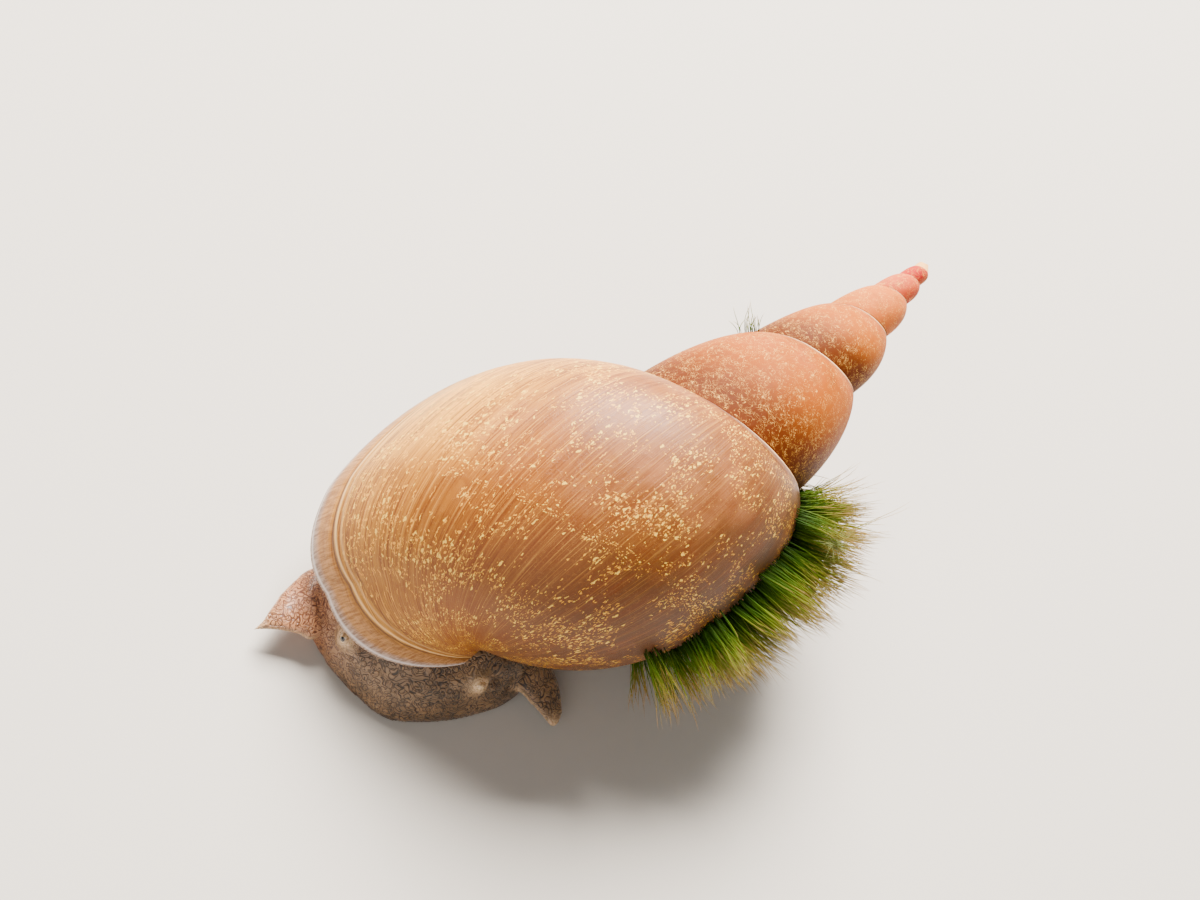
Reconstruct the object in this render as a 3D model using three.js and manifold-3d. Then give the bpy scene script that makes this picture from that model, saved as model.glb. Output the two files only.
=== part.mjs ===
// Great pond snail, life size, at rest with its head just out of the shell.
// Millimetres, +Z up, the sole on the plane z = 0, the head towards -Y and the apex towards +Y.

import * as THREE from 'three';
import { mergeVertices } from 'three/addons/utils/BufferGeometryUtils.js';
import Module from 'manifold-3d';

const wasm = await Module();
wasm.setup();

const TURN = 2 * Math.PI;
const GAP = 0.3;

// Shell growth: radius and depth are measured from the axis and from the apex, at the lip.
const SUTURE_RADIUS = 8.62;
const SUTURE_DEPTH = 29.26;
const APEX_SHIFT = -0.26;
const APEX_RADIUS = 0.45;
const RADIUS_GROWTH = 1.785;
const DEPTH_GROWTH = 1.6425;
const LAST_TURN_NARROWING = 0.088;
const LAST_TURN_SHORTENING = 0.023;
const BASE_DEPTH = 48.4;
const BASE_GROWTH = 1.055;
const SPIRE_TURNS = 5;

// Whorl profile: two cubic arcs, suture to suture and lower suture to the base of the axis.
const SHOULDER_ANGLE = 0.767;
const SHOULDER_ANGLE_LOSS = 0.592;
const SHOULDER_PULL = 0.3;
const SHOULDER_PULL_GAIN = 0.267;
const FLANK_PULL = 0.102;
const FLANK_LEAN = -0.1;
const FLANK_LEAN_GAIN = -0.325;
const BELLY_PULL = 0.538;
const BELLY_PULL_GAIN = 0.294;
const POLE_PULL = 0.052;
const POLE_ANGLE = -0.365;
const LIP_FLARE = 3;
const LIP_FLARE_ANGLE = 1.6;
const LIP_DROP = 1.8;
const LIP_DROP_START = 1.35;
const LIP_DROP_WIDTH = 0.75;

// The upper whorls are fuller on one side: the pulls at that side's opposite and what the side adds.
const SPIRE_SIDE = -0.47;
const SPIRE_SHOULDER_PULLS = [0.25, 0.17];
const SPIRE_FLANK_PULLS = [0.05, 0.2];

// Stance of the shell over the foot.
const AXIS_TILT = THREE.MathUtils.degToRad(18);
const APERTURE_ROLL = THREE.MathUtils.degToRad(4);
const APEX_HEIGHT = 20.8;

// Aperture: the lip is a thin rim round a recess that the mantle fills.
const LIP_WALL = 1.1;
const RECESS_DEPTH = 2.8;
const RECESS_TAPER = 1.7;
const APERTURE_CENTRE = [9.5, 42.5];
const APERTURE_HALF_SIZE = [7, 12];
const NECK_INSET = 2.6;
const NECK_FOOT_HEIGHT = 1.6;
const NECK_WAIST = 0.1;
const NECK_NARROWING = 0.06;
const NECK_STEPS = 4;

// Head, seen from above as a half ellipse that faces the front left of the shell.
const HEAD_CENTRE = new THREE.Vector3(-4.15, -46, 0);
const HEAD_TURN = THREE.MathUtils.degToRad(30.4);
const HEAD_REACH = 5.75;
const HEAD_BACK = 8;
const HEAD_BACK_NARROWING = 0.5;
const HEAD_HALF_WIDTH = 8.4;
const HEAD_HEIGHT = 6.2;
const MARGIN_THICKNESS = 0.7;
const HEAD_CUT = -3;

// Eye mounds and eyes, placed forward of the head's centre and out to each side.
const EYE_FORWARD = 2.7;
const EYE_SIDE = 4.85;
const EYE_RADIUS = 0.4;
const EYE_RISE = 0.12;
const MOUND_RADIUS = 1.15;
const MOUND_SINK = 0.62;

// Mouth: a small upright slit crossed by a level one, between two lips under the front margin.
const MOUTH_FORWARD = 5;
const MOUTH_SLIT = 0.5;
const MOUTH_WIDTH = 2.6;
const MOUTH_HEIGHT = 1.5;
const MOUTH_DEPTH = 1.8;
const LIP_RADIUS = 0.8;

// Foot stations from tail tip to neck: distance along Y, left edge, right edge, height.
const FOOT_STATIONS = [
  [-9, -1.8, -0.4, 0.9],
  [-12, -3.6, 1.1, 1.8],
  [-17, -6.8, 2.9, 2.9],
  [-23, -9.6, 4.1, 3.8],
  [-30, -11.7, 4.6, 4.6],
  [-37, -12.7, 3.4, 5.2],
  [-43, -12.6, 1.6, 5.4],
  [-47.5, -10.8, -0.6, 5],
];
const NECK_CUT_HEIGHT = 4.2;
const TAIL_CUT = -24;

// Tentacles: broad flat triangles with a slender tip, root to tip. Each station gives the X and Y of
// its two edges, the height of its middle and half its thickness. The cut is where the node starts.
const TENTACLES = {
  tentacle_right: {
    stations: [
      [-11.4, -47.2, -7.7, -50, 2.2, 0.95],
      [-12.6, -49, -8.5, -52.2, 2.1, 0.8],
      [-12.4, -50.9, -9.5, -52.9, 2.1, 0.6],
      [-12.1, -52.5, -10.3, -53.8, 1.95, 0.42],
      [-11.55, -54, -11, -54.4, 1.75, 0.28],
      [-11.45, -54.7, -11.35, -54.8, 1.5, 0.12],
    ],
    cut: [-10.6, -50.3],
    direction: [-0.25, -0.97],
  },
  tentacle_left: {
    stations: [
      [0.6, -38.6, 0.6, -43.1, 2.4, 1.1],
      [2.3, -39.4, 1.9, -43, 2.2, 0.9],
      [4.1, -40, 3.4, -42.9, 2, 0.65],
      [5.4, -40.8, 4.6, -42.8, 1.75, 0.45],
      [6.4, -41.6, 5.8, -42.7, 1.5, 0.28],
      [6.7, -42.45, 6.62, -42.55, 1.3, 0.12],
    ],
    cut: [3.1, -41.3],
    direction: [0.96, -0.28],
  },
};
const UNDERSIDE_SHARE = 0.7;

// Algae: a beard of flat locks on the left flank of the body whorl, below the suture. The fan turns
// from FAN_FIRST at the suture to FAN_FIRST + FAN_SWING at the belly, in the plane of FAN_SIDE and FAN_UP.
const LOCK_COUNT = 58;
const LOCK_LENGTH = 5.2;
const LOCK_LENGTH_RANGE = [0.82, 1.1];
const LOCK_LENGTH_LOSS = 0.25;
const LOCK_WIDTH = 2.3;
const LOCK_TIP_SHARE = 0.16;
const LOCK_THICKNESS = 0.62;
const LOCK_TIP_THICKNESS_SHARE = 0.5;
const LOCK_ROOT_DEPTH = 1;
const LOCK_RISE = 0.45;
const LOCK_SWEEP = 0.75;
const LOCK_TURN_RANGE = [-0.62, -0.43];
const LOCK_PROFILE_RANGE = [0.04, 1.18];
const LOCK_SEED = 47;
const FAN_SIDE = new THREE.Vector3(0.679, 0.656, 0.33);
const FAN_UP = new THREE.Vector3(-0.705, 0.457, 0.542);
const FAN_DRIFT = new THREE.Vector3(0.25, 0, -0.25);
const FAN_FIRST = THREE.MathUtils.degToRad(12);
const FAN_SWING = THREE.MathUtils.degToRad(-78);
const FAN_SPREAD = THREE.MathUtils.degToRad(14);
const LOCK_CURL = 0.2;
const LOCK_TWIST_RANGE = [THREE.MathUtils.degToRad(35), THREE.MathUtils.degToRad(80)];
const GOLDEN_SHARE = 0.618034;

// Facet counts.
const BODY_STEPS = 60;
const SPIRE_STEPS = 32;
const ARC_STEPS = 10;
const SPIRE_ARC_STEPS = 8;
const RING_TOP = 18;
const RING_BASE = 8;
const TENTACLE_SIDES = 14;
const TENTACLE_STEPS = 10;
const LOCK_STEPS = 4;

const lerp = THREE.MathUtils.lerp;
const clamp = THREE.MathUtils.clamp;

function suture(angle) {
  const last = Math.min(((angle + TURN) / TURN), 1.5);
  const gain = last > 0 ? last * last : 0;
  const radius = SUTURE_RADIUS * Math.pow(RADIUS_GROWTH, angle / TURN) * (1 - LAST_TURN_NARROWING * gain);
  const depth = SUTURE_DEPTH * Math.pow(DEPTH_GROWTH, angle / TURN) * (1 - LAST_TURN_SHORTENING * gain);
  return [Math.hypot(radius, APEX_RADIUS), depth + APEX_SHIFT];
}

function cubic(points, u) {
  const v = 1 - u;
  const weights = [v * v * v, 3 * v * v * u, 3 * v * u * u, u * u * u];
  return [0, 1].map((axis) => weights.reduce((sum, weight, i) => sum + weight * points[i][axis], 0));
}

// Point of the whorl's profile at a growth angle: t runs from 0 at the suture to 1 at the next
// suture and on to 2 at the base of the axis.
function profile(angle, t) {
  const gain = clamp((angle + TURN) / TURN, 0, 1) ** 2;
  const upper = suture(angle);
  const lower = suture(angle + TURN);
  const base = [0, BASE_DEPTH * Math.pow(BASE_GROWTH, angle / TURN)];
  const lean = FLANK_LEAN + FLANK_LEAN_GAIN * gain;
  const flank = [Math.sin(lean), Math.cos(lean)];
  const spireShare = THREE.MathUtils.smoothstep(-angle / TURN, 1, 2);
  const fullness = 0.5 + 0.5 * Math.cos(angle - SPIRE_SIDE * TURN);
  const spirePull = ([least, more]) => least + more * fullness;
  const shoulderPull = lerp(SHOULDER_PULL, spirePull(SPIRE_SHOULDER_PULLS), spireShare);
  const flankPull = lerp(FLANK_PULL, spirePull(SPIRE_FLANK_PULLS), spireShare);
  let arc;
  if (t <= 1) {
    const span = Math.hypot(lower[0] - upper[0], lower[1] - upper[1]);
    const shoulder = SHOULDER_ANGLE - SHOULDER_ANGLE_LOSS * gain;
    const pull = (shoulderPull + SHOULDER_PULL_GAIN * gain) * span;
    arc = [
      upper,
      [upper[0] + pull * Math.cos(shoulder), upper[1] + pull * Math.sin(shoulder)],
      [lower[0] - flankPull * span * flank[0], lower[1] - flankPull * span * flank[1]],
      lower,
    ];
  } else {
    const span = Math.hypot(base[0] - lower[0], base[1] - lower[1]);
    const pull = (BELLY_PULL + BELLY_PULL_GAIN * gain) * span;
    arc = [
      lower,
      [lower[0] + pull * flank[0], lower[1] + pull * flank[1]],
      [POLE_PULL * span * Math.cos(POLE_ANGLE), base[1] - POLE_PULL * span * Math.sin(POLE_ANGLE)],
      base,
    ];
  }
  const point = cubic(arc, t <= 1 ? t : t - 1);
  const nearLip = clamp(1 + angle / LIP_FLARE_ANGLE, 0, 1) ** 2;
  const flare = LIP_FLARE * nearLip * Math.sin((Math.PI * t) / 2);
  const drop = LIP_DROP * nearLip * Math.sin(Math.PI * clamp((t - LIP_DROP_START) / LIP_DROP_WIDTH, 0, 1));
  return [Math.max(point[0] + flare, 0), point[1] + flare + drop];
}

// The same profile moved outwards, for clearances.
function swollenProfile(angle, t, swell) {
  const point = profile(angle, t);
  if (swell === 0) return point;
  const step = 0.01;
  const before = profile(angle, Math.max(t - step, 0));
  const after = profile(angle, Math.min(t + step, 2));
  const along = [after[0] - before[0], after[1] - before[1]];
  const length = Math.hypot(along[0], along[1]);
  const radius = point[0] + (swell * along[1]) / length;
  return [t > 1.99 ? 0 : Math.max(radius, 0), point[1] - (swell * along[0]) / length];
}

const shellToModel = new THREE.Matrix4()
  .makeRotationFromEuler(new THREE.Euler(AXIS_TILT, APERTURE_ROLL, 0))
  .setPosition(0, 0, APEX_HEIGHT);

function shellPoint(angle, [radius, depth]) {
  return new THREE.Vector3(-radius * Math.cos(angle), -depth, -radius * Math.sin(angle));
}

function toGeometry(points, faces) {
  const geometry = new THREE.BufferGeometry().setFromPoints(points);
  geometry.setIndex(faces.flat());
  return geometry;
}

function toSolid(geometry) {
  const bare = geometry.index ? geometry.toNonIndexed() : geometry.clone();
  bare.deleteAttribute('normal');
  bare.deleteAttribute('uv');
  const merged = mergeVertices(bare, 1e-4);
  const vertProperties = new Float32Array(merged.attributes.position.array);
  const triVerts = new Uint32Array(merged.index.array);
  if (volumeOf(vertProperties, merged.index.array) < 0) triVerts.reverse();
  return new wasm.Manifold(new wasm.Mesh({ numProp: 3, vertProperties, triVerts }));
}

function volumeOf(positions, index) {
  const corner = (i) => new THREE.Vector3().fromArray(positions, 3 * index[i]);
  let sum = 0;
  for (let i = 0; i < index.length; i += 3) {
    sum += corner(i).dot(corner(i + 1).cross(corner(i + 2)));
  }
  return sum / 6;
}

function fromSolid(solid) {
  const { vertProperties, triVerts } = solid.getMesh();
  const geometry = new THREE.BufferGeometry();
  geometry.setAttribute('position', new THREE.BufferAttribute(new Float32Array(vertProperties), 3));
  geometry.setIndex(new THREE.BufferAttribute(new Uint32Array(triVerts), 1));
  return geometry;
}

function largest(solid) {
  return solid.decompose().sort((a, b) => b.volume() - a.volume())[0];
}

// One closed body of the shell over a whole number of turns, from profile t = 0 to tEnd.
function whorlSolid({ fromStep, toStep, stepsPerTurn, arcSteps, tEnd, swell, hub, tip }) {
  const points = [];
  const faces = [];
  const keys = new Map();
  const rows = tEnd * arcSteps;
  const angleAt = (k) => (k * TURN) / stepsPerTurn;
  const vertex = (k, j) => {
    const welded = j === arcSteps && k + stepsPerTurn <= toStep && k + stepsPerTurn >= fromStep;
    const key = welded ? `${k + stepsPerTurn},0` : `${k},${j}`;
    if (!keys.has(key)) {
      keys.set(key, points.length);
      const [kk, jj] = welded ? [k + stepsPerTurn, 0] : [k, j];
      points.push(shellPoint(angleAt(kk), swollenProfile(angleAt(kk), jj / arcSteps, swell)));
    }
    return keys.get(key);
  };
  const hubIndex = points.push(new THREE.Vector3(0, -hub, 0)) - 1;
  const tipIndex = tip === undefined ? hubIndex : points.push(new THREE.Vector3(0, -tip, 0)) - 1;
  for (let k = fromStep; k < toStep; k += 1) {
    for (let j = 0; j < rows; j += 1) {
      faces.push([vertex(k, j), vertex(k + 1, j), vertex(k + 1, j + 1)]);
      faces.push([vertex(k, j), vertex(k + 1, j + 1), vertex(k, j + 1)]);
    }
  }
  for (let k = fromStep; k < fromStep + stepsPerTurn; k += 1) {
    faces.push([vertex(k + 1, 0), vertex(k, 0), tipIndex]);
  }
  for (let j = 0; j < arcSteps; j += 1) {
    faces.push([vertex(fromStep, j), vertex(fromStep, j + 1), tipIndex]);
  }
  if (tEnd === 1) {
    for (let k = toStep - stepsPerTurn; k < toStep; k += 1) {
      faces.push([vertex(k, arcSteps), vertex(k + 1, arcSteps), hubIndex]);
    }
    for (let j = 0; j < arcSteps; j += 1) {
      faces.push([vertex(toStep, j + 1), vertex(toStep, j), hubIndex]);
    }
  } else {
    faces.push(...apertureFaces({ fromStep, toStep, arcSteps, vertex, points }));
  }
  return toSolid(toGeometry(points, faces));
}

// The flat face of the aperture, in the half plane that holds the lip.
function apertureFaces({ fromStep, toStep, arcSteps, vertex, points }) {
  const loop = [];
  for (let j = arcSteps; j <= 2 * arcSteps; j += 1) loop.push(vertex(fromStep, j));
  for (let k = fromStep + 1; k <= toStep; k += 1) loop.push(vertex(k, 2 * arcSteps));
  for (let j = 2 * arcSteps - 1; j > 0; j -= 1) loop.push(vertex(toStep, j));
  const contour = loop.map((i) => new THREE.Vector2(-points[i].x, -points[i].y));
  const sense = Math.sign(THREE.ShapeUtils.area(contour));
  return THREE.ShapeUtils.triangulateShape(contour, []).map((triangle) => {
    const turned = Math.sign(THREE.ShapeUtils.area(triangle.map((i) => contour[i]))) !== sense;
    const [a, b, c] = turned ? [triangle[0], triangle[2], triangle[1]] : triangle;
    return [loop[a], loop[b], loop[c]];
  });
}

function bodyWhorl(swell) {
  return whorlSolid({
    fromStep: -BODY_STEPS, toStep: 0, stepsPerTurn: BODY_STEPS, arcSteps: ARC_STEPS, tEnd: 2, swell, hub: 24,
  });
}

function spire() {
  const start = -SPIRE_STEPS * (SPIRE_TURNS + 1);
  const tip = suture(-TURN * (SPIRE_TURNS + 1))[1] - 0.35;
  return whorlSolid({
    fromStep: start, toStep: -SPIRE_STEPS, stepsPerTurn: SPIRE_STEPS, arcSteps: SPIRE_ARC_STEPS, tEnd: 1,
    swell: 0, hub: 24, tip,
  });
}

// A closed body through rings of points, each ring with the same count.
function loft(rings) {
  const count = rings[0].length;
  const points = rings.flat();
  const faces = [];
  for (let i = 0; i + 1 < rings.length; i += 1) {
    for (let j = 0; j < count; j += 1) {
      const next = (j + 1) % count;
      const [a, b] = [i * count + j, i * count + next];
      faces.push([a, b, b + count], [a, b + count, a + count]);
    }
  }
  [0, rings.length - 1].forEach((i) => {
    const middle = rings[i].reduce((sum, p) => sum.add(p), new THREE.Vector3()).divideScalar(count);
    const centre = points.push(middle) - 1;
    for (let j = 0; j < count; j += 1) {
      const [a, b] = [i * count + j, i * count + ((j + 1) % count)];
      faces.push(i === 0 ? [b, a, centre] : [a, b, centre]);
    }
  });
  return toSolid(toGeometry(points, faces));
}

function aperturePolygon(inset) {
  const outline = [];
  for (let j = ARC_STEPS; j <= 2 * ARC_STEPS; j += 2) outline.push(profile(-TURN, j / ARC_STEPS));
  for (let j = 2 * ARC_STEPS; j > 0; j -= 1) outline.push(profile(0, j / ARC_STEPS));
  return outline.map((point) => point.map((value, axis) => {
    const centre = APERTURE_CENTRE[axis];
    return centre + (value - centre) * (1 - inset / APERTURE_HALF_SIZE[axis]);
  }));
}

// A plug across the aperture: level 0 is the plane of the lip, positive levels lie inside the shell.
function aperturePlug(levels) {
  const rings = levels.map(([level, inset]) => aperturePolygon(inset)
    .map((point) => shellPoint(0, point).add(new THREE.Vector3(0, 0, level))));
  return loft(rings);
}

function recess() {
  return aperturePlug([[-1, LIP_WALL], [0, LIP_WALL], [RECESS_DEPTH, LIP_WALL + RECESS_TAPER]]);
}

function mantle() {
  const inset = LIP_WALL + GAP;
  return aperturePlug([[0, inset + 0.5], [0.4, inset], [RECESS_DEPTH - GAP, inset + RECESS_TAPER + 0.1]]);
}

// A low body with a flat sole: half ellipse above, straight line below.
function soleRing(centre, across, leftHalf, rightHalf, height) {
  const ring = [];
  const edge = Math.min(0.35, height / 3);
  for (let i = 0; i <= RING_TOP; i += 1) {
    const angle = (Math.PI * i) / RING_TOP;
    const half = Math.cos(angle) < 0 ? leftHalf : rightHalf;
    const rise = edge + (height - edge) * Math.sin(angle) ** 0.9;
    ring.push(centre.clone().addScaledVector(across, half * Math.cos(angle)).setZ(rise));
  }
  for (let i = 0; i <= RING_BASE; i += 1) {
    const side = lerp(-leftHalf, rightHalf, i / RING_BASE) * 0.96;
    ring.push(centre.clone().addScaledVector(across, side).setZ(0));
  }
  return ring;
}

function foot() {
  const across = new THREE.Vector3(1, 0, 0);
  const edges = new THREE.CatmullRomCurve3(FOOT_STATIONS.map(([y, left, right]) => new THREE.Vector3(y, left, right)));
  const heights = new THREE.CatmullRomCurve3(FOOT_STATIONS.map(([y, , , height]) => new THREE.Vector3(y, height, 0)));
  const stations = 2 * FOOT_STATIONS.length;
  const rings = [];
  for (let i = 0; i <= stations; i += 1) {
    const { x: y, y: left, z: right } = edges.getPoint(i / stations);
    const height = heights.getPoint(i / stations).y;
    const centre = new THREE.Vector3((left + right) / 2, y, 0);
    rings.push(soleRing(centre, across, (right - left) / 2, (right - left) / 2, height));
  }
  return loft(rings);
}

const headForward = new THREE.Vector3(Math.sin(HEAD_TURN), -Math.cos(HEAD_TURN), 0);
const headAcross = new THREE.Vector3(Math.cos(HEAD_TURN), Math.sin(HEAD_TURN), 0);

function headHalfWidth(forward) {
  if (forward < 0) return HEAD_HALF_WIDTH * (1 - HEAD_BACK_NARROWING * (forward / HEAD_BACK) ** 2);
  return HEAD_HALF_WIDTH * (1 - clamp(forward / HEAD_REACH, 0, 1) ** 1.6) ** 0.72;
}

function headTop(forward) {
  const fall = (1 - clamp(forward / HEAD_REACH, 0, 1) ** 1.9) ** 0.6;
  return MARGIN_THICKNESS + (HEAD_HEIGHT - MARGIN_THICKNESS) * fall;
}

function headSurface(forward, side) {
  const ratio = clamp(Math.abs(side) / headHalfWidth(forward), 0, 1);
  const height = 0.35 + (headTop(forward) - 0.35) * Math.sqrt(1 - ratio * ratio) ** 0.9;
  return HEAD_CENTRE.clone().addScaledVector(headForward, forward).addScaledVector(headAcross, side).setZ(height);
}

function headBlock() {
  const rings = [];
  const stations = 18;
  for (let i = 0; i <= stations; i += 1) {
    const forward = lerp(-HEAD_BACK, HEAD_REACH, Math.sin((Math.PI / 2) * (i / stations)));
    const half = Math.max(headHalfWidth(forward), 0.4);
    const centre = HEAD_CENTRE.clone().addScaledVector(headForward, forward);
    rings.push(soleRing(centre, headAcross, half, half, headTop(forward)));
  }
  return loft(rings);
}

// A column from the foot up to the aperture, with a slight waist.
function neckColumn() {
  const upper = aperturePolygon(NECK_INSET).map((point) => shellPoint(0, point).applyMatrix4(shellToModel));
  const middle = upper.reduce((sum, p) => sum.add(p), new THREE.Vector3()).divideScalar(upper.length);
  const rings = [];
  for (let i = 0; i <= NECK_STEPS; i += 1) {
    const share = i / NECK_STEPS;
    const waist = NECK_WAIST * Math.sin(Math.PI * share) + NECK_NARROWING * share;
    rings.push(upper.map((p) => {
      const height = lerp(p.z, NECK_FOOT_HEIGHT, share);
      return p.clone().lerp(middle, waist).setZ(height);
    }));
  }
  return loft(rings);
}

function ball(centre, radius, stretch = [1, 1, 1]) {
  const sphere = new THREE.SphereGeometry(radius, 16, 10);
  sphere.scale(...stretch).translate(centre.x, centre.y, centre.z);
  return toSolid(sphere);
}

function boxAt(centre, size, turn = 0) {
  const box = new THREE.BoxGeometry(...size);
  box.rotateZ(turn).translate(centre.x, centre.y, centre.z);
  return toSolid(box);
}

// The part of space on one side of an upright plane.
function beyond(point, direction) {
  const reach = 200;
  const centre = point.clone().addScaledVector(direction, reach / 2);
  return boxAt(centre, [reach, 2 * reach, 2 * reach], Math.atan2(direction.y, direction.x));
}

function slabAbove(height) {
  const reach = 200;
  return boxAt(new THREE.Vector3(0, 0, height + reach / 2), [2 * reach, 2 * reach, reach]);
}

function eyeCentre(side) {
  return headSurface(EYE_FORWARD, side * EYE_SIDE);
}

// Direction straight out of the head's surface at an eye.
function eyeOutward(side) {
  const step = 0.2;
  const centre = eyeCentre(side);
  const ahead = headSurface(EYE_FORWARD + step, side * EYE_SIDE).sub(centre);
  const aside = headSurface(EYE_FORWARD, side * EYE_SIDE + step).sub(centre);
  const outward = ahead.cross(aside).normalize();
  return outward.z < 0 ? outward.negate() : outward;
}

// A smooth curve through the stations' values, taken by threes.
function throughStations(stations, first) {
  return new THREE.CatmullRomCurve3(stations.map((station) => new THREE.Vector3(...station.slice(first, first + 3))));
}

function tentacle(stations) {
  const first = throughStations(stations, 0);
  const second = throughStations(stations, 3);
  const rings = [];
  for (let i = 0; i <= TENTACLE_STEPS; i += 1) {
    const { x: ax, y: ay, z: bx } = first.getPoint(i / TENTACLE_STEPS);
    const { x: by, y: rise, z: half } = second.getPoint(i / TENTACLE_STEPS);
    const ring = [];
    for (let j = 0; j < TENTACLE_SIDES; j += 1) {
      const angle = (TURN * j) / TENTACLE_SIDES;
      const share = (1 + Math.cos(angle)) / 2;
      const lift = half * Math.sin(angle) * (Math.sin(angle) > 0 ? 1 : UNDERSIDE_SHARE);
      ring.push(new THREE.Vector3(lerp(bx, ax, share), lerp(by, ay, share), rise + lift));
    }
    rings.push(ring);
  }
  return loft(rings);
}

function seededRandom(seed) {
  let state = seed;
  return () => {
    state = (state * 16807) % 2147483647;
    return state / 2147483647;
  };
}

function flankPoint(angle, t) {
  const place = (a, u) => shellPoint(a, profile(a, u)).applyMatrix4(shellToModel);
  const point = place(angle, t);
  const alongTurn = place(angle + 0.02, t).sub(point);
  const alongProfile = place(angle, t + 0.02).sub(point);
  return { point, normal: alongTurn.cross(alongProfile).normalize() };
}

// One flat, tapered lock: it leaves the flank straight out and bends over into the lie of the beard.
// Its broad side is turned about its run by the twist, and it curls a little sideways.
function algaeLock(angle, t, { length, fan, twist, curl }) {
  const { point, normal } = flankPoint(angle, t);
  const lie = FAN_SIDE.clone().multiplyScalar(Math.cos(fan)).addScaledVector(FAN_UP, Math.sin(fan));
  lie.add(FAN_DRIFT).normalize();
  const broad = new THREE.Vector3().crossVectors(normal, lie).normalize();
  const rings = [];
  for (let i = 0; i <= LOCK_STEPS; i += 1) {
    const u = i / LOCK_STEPS;
    const centre = point.clone().addScaledVector(normal, length * u * (1 - LOCK_RISE * u));
    centre.addScaledVector(lie, length * LOCK_SWEEP * u * u).addScaledVector(broad, length * curl * u * u);
    if (i === 0) centre.addScaledVector(normal, -LOCK_ROOT_DEPTH);
    const run = normal.clone().multiplyScalar(1 - 2 * LOCK_RISE * u).addScaledVector(lie, 2 * LOCK_SWEEP * u);
    const flat = run.cross(broad).normalize();
    const wide = broad.clone().multiplyScalar(Math.cos(twist)).addScaledVector(flat, Math.sin(twist));
    const thin = flat.clone().multiplyScalar(Math.cos(twist)).addScaledVector(broad, -Math.sin(twist));
    const half = (LOCK_WIDTH / 2) * lerp(1, LOCK_TIP_SHARE, u ** 1.5);
    const thick = (LOCK_THICKNESS / 2) * lerp(1, LOCK_TIP_THICKNESS_SHARE, u);
    rings.push([[half, 0], [0, thick], [-half, 0], [0, -thick]].map(([a, b]) => (
      centre.clone().addScaledVector(wide, a).addScaledVector(thin, b)
    )));
  }
  return loft(rings);
}

function algaeBeard() {
  const random = seededRandom(LOCK_SEED);
  const locks = [];
  for (let i = 0; i < LOCK_COUNT; i += 1) {
    const share = (i + 0.5) / LOCK_COUNT;
    const t = lerp(...LOCK_PROFILE_RANGE, share);
    const angle = TURN * lerp(...LOCK_TURN_RANGE, (i * GOLDEN_SHARE) % 1);
    const length = LOCK_LENGTH * lerp(...LOCK_LENGTH_RANGE, random()) * (1 - LOCK_LENGTH_LOSS * share);
    const fan = FAN_FIRST + FAN_SWING * share + lerp(-FAN_SPREAD, FAN_SPREAD, random());
    const twist = lerp(...LOCK_TWIST_RANGE, random()) * (i % 2 === 0 ? 1 : -1);
    locks.push(algaeLock(angle, t, { length, fan, twist, curl: lerp(-LOCK_CURL, LOCK_CURL, random()) }));
  }
  return locks;
}

const model = (solid) => solid.transform(shellToModel.elements);

const bodySolid = bodyWhorl(0);
const bodyShift = [0, 0.35, GAP];
const spireSolid = largest(model(spire().subtract(bodySolid.translate(bodyShift))));
const bodyWithMouth = model(bodySolid.subtract(recess()));
const beardedBody = largest(algaeBeard().reduce((solid, lock) => solid.add(lock), bodyWithMouth).subtract(
  spireSolid.translate([0, 0, GAP]).add(spireSolid.translate([GAP, 0, -GAP])),
));
const swollenBody = bodyWhorl(GAP);
const shellClearance = model(swollenBody.add(swollenBody.translate([0, 0, -GAP])));

const mantleSolid = largest(model(mantle()));

let flesh = foot().add(headBlock()).add(neckColumn());
const eyes = {};
for (const [name, side] of [['eye_left', 1], ['eye_right', -1]]) {
  const outward = eyeOutward(side);
  const mound = eyeCentre(side).addScaledVector(outward, -MOUND_SINK);
  const seat = mound.clone().addScaledVector(outward, MOUND_RADIUS - EYE_RADIUS + EYE_RISE);
  flesh = flesh.add(ball(mound, MOUND_RADIUS)).subtract(ball(seat, EYE_RADIUS + GAP));
  eyes[name] = ball(seat, EYE_RADIUS);
}

const mouthPoint = HEAD_CENTRE.clone().addScaledVector(headForward, MOUTH_FORWARD);
for (const side of [-1, 1]) {
  const lip = mouthPoint.clone().addScaledVector(headAcross, side * (LIP_RADIUS + 0.1)).setZ(LIP_RADIUS * 0.8);
  flesh = flesh.add(ball(lip, LIP_RADIUS, [1, 1, 0.8]));
}
const slitTurn = HEAD_TURN;
flesh = flesh.subtract(boxAt(
  mouthPoint.clone().addScaledVector(headForward, 0.4).setZ(MOUTH_HEIGHT / 2 - 0.4),
  [MOUTH_SLIT, MOUTH_DEPTH, MOUTH_HEIGHT + 0.8], slitTurn,
));
flesh = flesh.subtract(boxAt(
  mouthPoint.clone().addScaledVector(headForward, 0.5).setZ(MOUTH_HEIGHT * 0.9),
  [MOUTH_WIDTH, MOUTH_DEPTH, MOUTH_SLIT], slitTurn,
));

const tentacleNodes = {};
for (const [name, { stations, cut, direction }] of Object.entries(TENTACLES)) {
  const body = tentacle(stations);
  const start = new THREE.Vector3(...cut, 0);
  const outwards = new THREE.Vector3(...direction, 0).normalize();
  const outer = body.intersect(beyond(start, outwards));
  flesh = flesh.add(body.subtract(beyond(start.clone().addScaledVector(outwards, -GAP), outwards)));
  tentacleNodes[name] = { outer, direction: outwards };
}
flesh = flesh.subtract(shellClearance).subtract(slabAbove(-200).subtract(slabAbove(-1e-4)));

for (const [name, { outer, direction }] of Object.entries(tentacleNodes)) {
  const moved = flesh.translate(direction.clone().multiplyScalar(GAP).toArray());
  tentacleNodes[name] = largest(outer.subtract(flesh).subtract(moved).subtract(shellClearance));
}

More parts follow.
